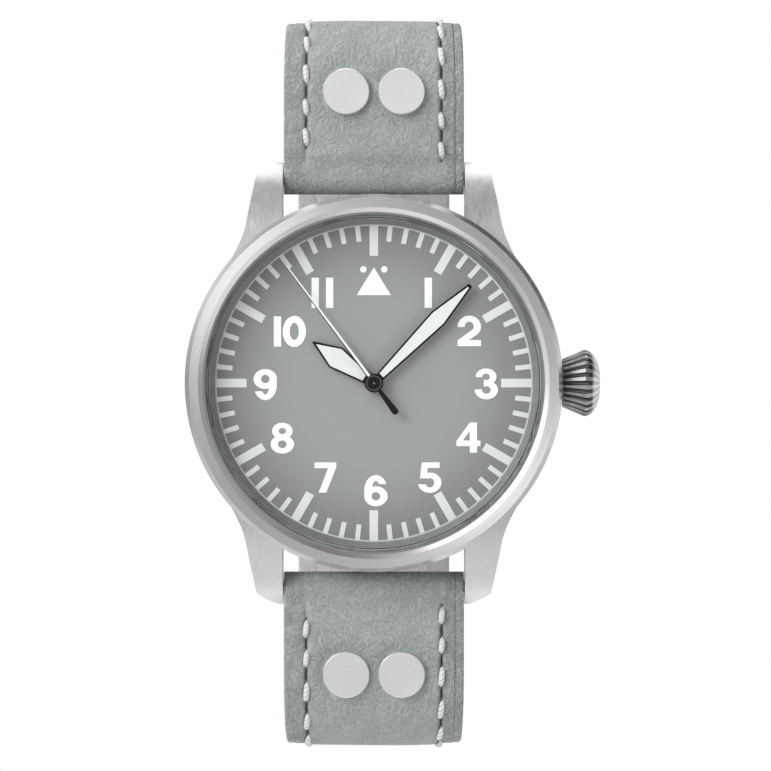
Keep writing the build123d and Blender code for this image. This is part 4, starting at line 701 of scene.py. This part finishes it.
def make_piece(name, points, faces, uv, uv_name, body, material, sharp=None, tools=(), weld=1e-7,
               pinched=False):
    """One object from arrays in millimetres: welded along its seams, carved, normals outward."""
    mesh = bpy.data.meshes.new(name)
    mesh.from_pydata((points.reshape(-1, 3) * mm), [], faces.reshape(-1, 4))
    layer = mesh.uv_layers.new(name=uv_name)
    layer.data.foreach_set("uv", uv.astype(np.float32).ravel())
    mesh.materials.append(material)
    work = bmesh.new()
    work.from_mesh(mesh)
    bmesh.ops.remove_doubles(work, verts=work.verts, dist=weld)
    bmesh.ops.dissolve_degenerate(work, edges=work.edges, dist=weld)
    bmesh.ops.recalc_face_normals(work, faces=work.faces)
    work.to_mesh(mesh)
    work.free()
    piece = bpy.data.objects.new(name, mesh)
    bpy.context.scene.collection.objects.link(piece)
    if tools:
        carve(piece, tools, pinched)
    mesh = piece.data
    mesh.polygons.foreach_set("use_smooth", np.ones(len(mesh.polygons), dtype=bool))
    if sharp:
        mesh.set_sharp_from_angle(angle=math.radians(sharp))
    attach(piece, body)
    return piece


# Columns across the strap in millimetres at its usual width, close together at the stitch lines
fine_columns = np.array((7.0, 7.15, 7.28, 7.38, 7.46, 7.54, 7.63, 7.75, 7.9, 8.1, 8.5, 8.8,
                         8.95, 9.05, 9.2, edge_column))
inner_columns = np.linspace(-6.8, 6.8, 29)
columns = np.concatenate((-fine_columns[::-1], inner_columns, fine_columns))
edge_turns = np.radians((25.0, 50.0, 72.0, 90.0))


def lay_rows(stations, nose, tail):
    """Rows along one half: the rounded fold at the lug, the strap, then a fold or a rounded tip."""
    tip_centre_y = tail_tip_y - half_width_low
    spot, normal, thick, length = walk(stations)
    total = length[-1]
    lengths = list(np.linspace(0, total, int(total / 0.42)))
    if tail == "tip":
        drop = np.sin(np.radians(np.linspace(0, 90, 26)))
        reach = np.minimum(tip_centre_y + half_width_low * drop, -spot[-1, 0] - 1e-4)
        last = length > total - 24
        tip = np.interp(reach, -spot[last, 0], length[last])
        lengths = [s for s in lengths if s < tip[0] - 0.2] + list(tip)
    lengths = np.array(lengths)

    def pick(values):
        return np.interp(lengths, length, values)

    rows = {
        "spot": np.stack((pick(spot[:, 0]), pick(spot[:, 1])), 1),
        "normal": np.stack((pick(normal[:, 0]), pick(normal[:, 1])), 1),
        "half": pick(thick) / 2, "length": lengths,
    }
    rows["normal"] /= np.linalg.norm(rows["normal"], axis=1)[:, None]
    rows["width"] = half_width(rows["spot"][:, 1])
    rows["squeeze"] = np.ones(len(lengths))
    if tail == "tip":
        beyond = np.clip((-rows["spot"][:, 0] - tip_centre_y) / half_width_low, 0, 1)
        limit = half_width_low * np.sqrt(np.maximum(1 - beyond ** 2, 0)) + 0.02
        rows["width"] = np.where(beyond > 0, np.minimum(rows["width"], limit), rows["width"])
    ends = [(0, -1)] if nose else []
    if tail == "fold":
        ends.append((-1, 1))
    for index, sign in ends:
        radius = rows["half"][index]
        tangent = np.array((rows["normal"][index][1], -rows["normal"][index][0]))
        turn = np.radians((12.0, 25.0, 38.0, 50.0, 62.0, 73.0, 82.0, 89.5))
        if sign < 0:
            turn = turn[::-1]
        away = radius * np.sin(turn)
        extra = {
            "spot": rows["spot"][index] + sign * away[:, None] * tangent,
            "normal": np.repeat(rows["normal"][index][None], len(turn), 0),
            "half": np.full(len(turn), radius), "length": rows["length"][index] + sign * away,
            "width": np.full(len(turn), rows["width"][index]), "squeeze": np.cos(turn),
        }
        order = (extra, rows) if sign < 0 else (rows, extra)
        rows = {key: np.concatenate((order[0][key], order[1][key])) for key in rows}
    return rows


def rivet_dimple(x, length):
    """How far the leather is pressed down round the rivet heads, from 0 to 1."""
    press = np.zeros_like(x)
    for centre in (-rivet_x, rivet_x):
        away = np.hypot(x - centre, length - rivet_along)
        press = np.maximum(press, np.exp(-(np.maximum(away - rivet_press_radius, 0) / 0.75) ** 2))
    return press


def strap_layer(name, stations, turned, top, tail, material, tools):
    """A closed band. top: the leather you see; otherwise the lining, built the same way inside out.

    point = middle + normal * offset. At the outer face offset = half thickness - relief, and relief adds
    up the step at the padding's edge, the dome, the stitch groove, the edge crease, a slow wave and the
    rivets' dimples. The edges are rounded by e: x = w - e + e sin t, offset falls by e (1 - cos t).
    """
    rows = lay_rows(stations, top, tail if top or tail == "tip" else None)
    count = len(rows["length"])
    face = 1 if top else -1
    half, length, squeeze = rows["half"], rows["length"], rows["squeeze"]
    lug_part = 1 - smooth_share(length, 20, 34)
    wall = 2 * half - lining_thickness - layer_gap if top else np.full(count, lining_thickness)
    if top:
        total = length[squeeze > 0.999][-1]
        fold = 1 - smooth_share(length, 0.6, 1.7)
        if tail == "fold":
            fold = np.maximum(fold, smooth_share(length, total - 1.6, total - 0.5))
        wall = wall + (2 * half - wall) * fold
    out = half * squeeze
    inn = (half - wall) * np.where(squeeze < 0.999, squeeze, 1)
    edge = np.minimum(0.32 if top else 0.26, 0.42 * np.maximum(out - inn, 0.001))
    edge = np.minimum(edge, rows["width"] * 0.6)
    under = edge * 0.3
    core = (rows["width"] - edge)[:, None]

    flat = columns[None] / edge_column * core

    def profile(round_edge, offset, relief):
        reach = core + round_edge[:, None] * np.sin(edge_turns)
        fall = offset[:, None] - round_edge[:, None] * (1 - np.cos(edge_turns))
        x = np.hstack((-reach[:, ::-1], flat, reach))
        return x, np.hstack((fall[:, ::-1] - relief[:, :1], offset[:, None] - relief, fall - relief[:, -1:]))

    side = np.abs(columns)[None]
    step = 0.05 + lug_part * (0.12 + 0.2 * (1 - smooth_share(length, 4, 13)))
    pad = step[:, None] * smooth_share(side, 7.1, 8.1)
    dome = (0.1 * lug_part)[:, None] * np.minimum(side / 7.0, 1) ** 2
    seam = (0.3 * lug_part + 0.16) * smooth_share(length, stitch_start_near - 1.8, stitch_start_near - 1.0)
    groove = seam[:, None] * np.exp(-((side - stitch_line) / 0.24) ** 2)
    crease = 0.06 * smooth_share(side, 8.85, 9.0)
    wave = 0.05 * np.sin(0.9 * length[:, None] + 1.3) * np.sin(0.5 * flat + 0.4) * lug_part[:, None]
    if top:
        relief = pad + dome + groove + crease + wave + 0.28 * rivet_dimple(flat, length[:, None])
    else:
        relief = (groove + crease) * 0.5
    start = smooth_share(length, 0.4, 3.2)[:, None]
    relief = relief * np.minimum(start * squeeze[:, None], 1)
    if tail == "tip":
        relief = relief * smooth_share(rows["width"], 1.5, 6.0)[:, None]
    x_out, z_out = profile(edge, out, relief)
    x_in, z_in = profile(under, -inn, np.zeros_like(relief))
    x = np.hstack((x_out, x_in[:, ::-1]))
    offset = np.hstack((z_out, -z_in[:, ::-1]))
    middle, normal = rows["spot"], rows["normal"] * face
    points = np.stack((x, middle[:, :1] + normal[:, :1] * offset, middle[:, 1:] + normal[:, 1:] * offset), -1)
    if turned:
        points[..., :2] *= -1
    width = points.shape[1]
    rounded = edge_column + 0.3 * np.sin(edge_turns)
    plain = np.concatenate((-rounded[::-1], columns, rounded))
    rim = wall.mean()
    across = np.concatenate((plain, 19.8 + rim - plain[::-1], [39.6 + 2 * rim - 9.9]))
    across = np.repeat(across[None], count, 0)
    faces = tube_faces(count, width)
    uv = corner_uv(count, width, across, length + (second_half if turned else 0.0))
    caps = [] if rows["squeeze"][0] < 0.5 else [0]
    if not (squeeze[-1] < 0.5 or tail == "tip"):
        caps.append(count - 1)
    half_columns = width // 2
    for row in caps:
        k = np.arange(half_columns - 1)
        base = row * width
        cap = np.stack((base + k, base + k + 1, base + width - 2 - k, base + width - 1 - k), -1)
        faces = np.concatenate((faces.reshape(-1, 4), cap))
        uv = np.concatenate((uv.reshape(-1, 4, 2), np.zeros((len(cap), 4, 2)) + (14.0, 3.0)))
    pinched = top and tail == "fold"
    return make_piece(name, points, faces, uv, "strap", "head", material, 50, tools, 2e-6, pinched)


def slot_tools(long_half):
    """The tongue's slot: upright in the short half, sloping in the long one, which has its holes too."""
    if not long_half:
        return [box_tool(1.0, ((-2.0, -35.0), (3.9, -35.0), (3.9, -29.0), (-2.0, -29.0)))]
    knee = np.array(tongue_knee)
    run = knee / np.linalg.norm(knee)
    off = np.array((run[1], -run[0]))
    heel = np.array((heel_y, short_mid_z))
    near, far = heel + run * 1.2, heel + knee * 1.05
    slot = [near - off * 0.62, far - off * 0.62, far + off, near + off]
    return [hole_tool(y) for y in hole_ys] + [box_tool(0.98, slot)]


leather_tones = (0.415, 0.437, 0.441), (0.25, 0.267, 0.27)
leather = leather_material("grey leather", *leather_tones, sewn=True)
lining = leather_material("lining leather", (0.5, 0.5, 0.49), (0.36, 0.36, 0.35), False, 0.06)
plain_leather = leather_material("keeper leather", *leather_tones, sewn=False)

for half_name, stations, turned, tail in (("short", short_stations, False, "fold"),
                                          ("long", long_stations, True, "tip")):
    layer = strap_layer(f"{half_name}_top", stations, turned, True, tail, leather,
                        slot_tools(turned))
    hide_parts(f"strap_{half_name}_leather")
    layer = strap_layer(f"{half_name}_lining", stations, turned, False, tail, lining,
                        slot_tools(turned))
    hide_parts(f"strap_{half_name}_lining")


# Stitching

thread = thread_material()


def stitch_row(name, stations, turned, inside, last):
    """Thread slugs on both stitch lines of one face.

    Slug: v in [-1, 1] runs along it, its half width and half height are scaled by (1 - v^4)^0.5, and its
    ends dive by 0.45 v^4.
    """
    spot, normal, thick, length = walk(stations)
    steps = np.arange(0.0, last - stitch_start_far, stitch_pitch)
    sides = np.repeat((-1.0, 1.0), len(steps))
    later = sides > 0 if turned else sides < 0
    centres = np.tile(steps, 2) + np.where(later, stitch_start_far, stitch_start_near)
    around = np.linspace(0, 2 * np.pi, 11)
    v = np.sin(np.linspace(-np.pi / 2, np.pi / 2, 11))
    radius = np.sqrt(np.maximum(1 - v ** 4, 0))
    jitter = np.sin(centres * 12.9 + sides * 3.1)
    at = centres[:, None] + v[None] * (thread_half_length + 0.07 * jitter)[:, None]
    y, z, ny, nz, half = (np.interp(at, length, values) for values in (*spot.T, *normal.T, thick / 2))
    lug_part = 1 - smooth_share(at, 20, 34)
    sunk = 0.02 if inside else 0.16 * lug_part + 0.05
    lift = -sunk + 0.16 - 0.45 * v ** 4
    width = np.interp(z, (taper_low_z, taper_top_z), (half_width_low, half_width_top))
    slant = (0.13 + 0.05 * jitter)[:, None] * v[None] * (1 if turned else -1)
    x = sides[:, None] * stitch_line / edge_column * (width - 0.32) + slant + 0.03 * jitter[:, None]
    face = -1 if inside else 1
    reach = (half + lift)[..., None] + thread_half_height * radius[None, :, None] * np.sin(around)
    points = np.stack((
        x[..., None] + thread_half_width * radius[None, :, None] * np.cos(around),
        y[..., None] + face * ny[..., None] * reach,
        z[..., None] + face * nz[..., None] * reach), -1)
    if turned:
        points[..., :2] *= -1
    count, rows, width_count, _ = points.shape
    i, j = np.meshgrid(np.arange(rows - 1), np.arange(width_count - 1), indexing="ij")
    quad = np.stack((i * width_count + j, i * width_count + j + 1,
                     (i + 1) * width_count + j + 1, (i + 1) * width_count + j), -1).reshape(-1, 4)
    faces = (quad[None] + (np.arange(count) * rows * width_count)[:, None, None]).reshape(-1, 4)
    u = np.stack((j, j + 1, j + 1, j), -1) / (width_count - 1)
    w = np.stack((v[i], v[i], v[i + 1], v[i + 1]), -1)
    uv = np.tile(np.stack((u, w), -1).reshape(1, -1, 4, 2), (count, 1, 1, 1))
    return make_piece(name, points, faces, uv, "thread", "head", thread, weld=1e-6)


for half_name, stations, turned, last in (("short", short_stations, False, 74.0),
                                          ("long", long_stations, True, 96.0)):
    stitch_row(f"{half_name}_stitches_outside", stations, turned, False, last)
    stitch_row(f"{half_name}_stitches_inside", stations, turned, True, padded_end)


# Keepers

def keeper(name, y_from, y_to, body, node):
    """A leather loop: a rounded rectangle path carrying a softly domed band section."""
    half_x, half_z, centre_z, corner = 9.9, 3.1, -33.4, 1.3
    quarter = np.radians(np.linspace(0, 90, 9))
    path = []
    for number, (sx, sz) in enumerate(((1, 1), (-1, 1), (-1, -1), (1, -1))):
        turn = quarter + number * math.pi / 2
        cx, cz = sx * (half_x - corner), sz * (half_z - corner)
        path.append(np.stack((cx + corner * np.cos(turn), centre_z + cz + corner * np.sin(turn),
                              np.cos(turn), np.sin(turn)), 1))
    corners = np.vstack(path)
    ring = []
    for first, second in zip(corners, np.roll(corners, -1, 0)):
        count = max(int(np.hypot(*(second[:2] - first[:2])) / 0.5), 1)
        share = np.linspace(0, 1, count, endpoint=False)[:, None]
        ring.append(first + (second - first) * share)
    ring = np.vstack(ring)
    ring = np.vstack((ring, ring[:1]))
    ring[:, 2:] /= np.linalg.norm(ring[:, 2:], axis=1)[:, None]
    turn = np.linspace(0, 2 * np.pi, 49)[:-1]
    middle, half_y = (y_from + y_to) / 2, (y_to - y_from) / 2
    section_y = middle + half_y * np.sign(np.cos(turn)) * np.abs(np.cos(turn)) ** 0.35
    section_t = 0.48 * np.sign(np.sin(turn)) * np.abs(np.sin(turn)) ** 0.5
    edge = np.abs(section_y - middle) / half_y
    section_t = section_t - 0.05 * np.exp(-((edge - 0.78) / 0.05) ** 2) * (section_t > 0)
    points = np.stack((
        ring[:, :1] + ring[:, 2:3] * section_t, np.repeat(section_y[None], len(ring), 0),
        ring[:, 1:2] + ring[:, 3:4] * section_t), -1)
    rows, width = points.shape[:2]
    gaps = np.hypot(*(ring[1:, :2] - ring[:-1, :2]).T)
    along = np.concatenate(([0], np.cumsum(gaps)))
    across = np.repeat(np.concatenate((turn, [2 * np.pi]))[None] * half_y * 0.7, rows, 0)
    piece = make_piece(name, points, tube_faces(rows, width), corner_uv(rows, width, across, along),
                       "strap", body, plain_leather, 50, (), 1e-6)
    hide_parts(node)


keeper("fixed_loop", 5.4, 9.4, "head", "fixed_keeper")
keeper("free_loop", 12.4, 16.8, "keeper", "free_keeper")


# Stage: pale floor, studio lights, camera

def floor_material():
    """Pale floor. To the camera, and through glass, it is plain white."""
    t = start_material("pale floor")
    rays = t.tree.nodes.new("ShaderNodeLightPath").outputs
    seen = t.math("MAXIMUM", rays["Is Camera Ray"], rays["Is Transmission Ray"])
    fine = t.noise(t.place(), 0.4, 2.0)
    base = t.mix(fine, (0.8, 0.8, 0.8), (0.84, 0.84, 0.84))
    plain = t.add("BsdfDiffuse", {"Color": base})
    white = t.add("Emission", {"Color": (1.0, 1.0, 1.0), "Strength": 1.0})
    return close_material(t, t.add("MixShader", (seen, plain, white)))


def make_floor(sides=96):
    turn = np.linspace(0, 2 * np.pi, sides, endpoint=False)
    rim = np.stack((floor_radius * np.cos(turn), floor_radius * np.sin(turn), np.full(sides, floor_z)), 1)
    mesh = bpy.data.meshes.new("floor")
    mesh.from_pydata(rim, [], [tuple(range(sides))])
    mesh.materials.append(floor_material())
    floor = bpy.data.objects.new("floor", mesh)
    bpy.context.scene.collection.objects.link(floor)


def around(t, turn, stops):
    """A light level that changes with the azimuth: stops are (degrees from -180 to 180, level)."""
    node = t.tree.nodes.new("ShaderNodeValToRGB")
    t.feed(node.inputs[0], turn)
    ramp = node.color_ramp
    ramp.interpolation = "EASE"
    brightest = max(level for _, level in stops)
    for degrees, _ in stops[1:-1]:
        ramp.elements.new((degrees + 180) / 360)
    for element, (degrees, level) in zip(ramp.elements, stops):
        element.position = (degrees + 180) / 360
        element.color = (level / brightest, level / brightest, level / brightest, 1.0)
    return t.math("MULTIPLY", t.add("RGBToBW", (node.outputs[0],)), brightest)


def make_world():
    """Soft studio in three tiers: low reflectors and flags, a ring of softboxes, an even ceiling."""
    world = bpy.data.worlds.new("studio")
    world.use_nodes = True
    tree = world.node_tree
    tree.nodes.clear()
    t = Tree(tree)
    x, y, z = t.split(t.add("TexCoord", output=0))
    turn = t.span(t.math("ARCTAN2", y, x), -math.pi, math.pi)
    low = around(t, turn, (
        (-180, 0.4), (-150, 0.8), (-110, 0.9), (-90, 1.5), (-45, 0.7), (-10, 1.0), (5, 1.0),
        (30, 0.06), (60, 0.02), (80, 2.4), (100, 2.4), (120, 0.6), (150, 1.0), (180, 0.4)))
    middle = around(t, turn, (
        (-180, 1.0), (-135, 0.62), (-110, 1.1), (-90, 1.0), (-70, 0.7), (-45, 1.05), (-25, 1.05),
        (0, 0.42), (40, 0.46), (75, 0.25), (100, 0.5), (125, 3.3), (150, 3.3), (180, 1.0)))
    value = low
    for level, z_from, z_to in ((middle, 0.0, 0.35), (0.5, 0.9, 0.998), (0.2, -0.35, -0.65)):
        share = t.span(z, z_from, z_to, smooth=True)
        value = t.math("ADD", value, t.math("MULTIPLY", t.math("SUBTRACT", level, value), share))
    rays = tree.nodes.new("ShaderNodeLightPath").outputs
    seen = t.math("MAXIMUM", rays["Is Camera Ray"], rays["Is Transmission Ray"])
    color = t.mix(seen, t.add("CombineColor", (value, value, value)), (1.0, 1.0, 1.0))
    background = t.add("Background", {"Color": color, "Strength": 1.0})
    sink = tree.nodes.new("ShaderNodeOutputWorld")
    t.feed(sink.inputs[0], background)
    bpy.context.scene.world = world


def area_light(name, azimuth, elevation, distance, size, watts):
    """A square softbox aimed at the dial."""
    data = bpy.data.lights.new(name, "AREA")
    data.shape = "SQUARE"
    data.size = size
    data.energy = watts
    light = bpy.data.objects.new(name, data)
    a, e = math.radians(azimuth), math.radians(elevation)
    out = distance * math.cos(e)
    light.location = (out * math.cos(a), out * math.sin(a), distance * math.sin(e))
    light.rotation_euler = (math.pi / 2 - e, 0, a + math.pi / 2)
    light.visible_glossy = False
    bpy.context.scene.collection.objects.link(light)


make_floor()
make_world()
area_light("key", 150, 45, 0.9, 0.3, 2.2)
area_light("fill", -20, 40, 0.9, 0.6, 0.7)

camera_data = bpy.data.cameras.new("camera")
camera_data.sensor_width = 36
camera_data.lens = camera_data.sensor_width / 2 / math.tan(math.radians(half_view))
camera_data.shift_x = 0.0151
camera_data.shift_y = -0.0032
camera_data.clip_start = 0.01
camera = bpy.data.objects.new("camera", camera_data)
camera.location = (0, 0, camera_height)
bpy.context.scene.collection.objects.link(camera)
bpy.context.scene.camera = camera
bpy.context.scene.view_settings.view_transform = "Standard"
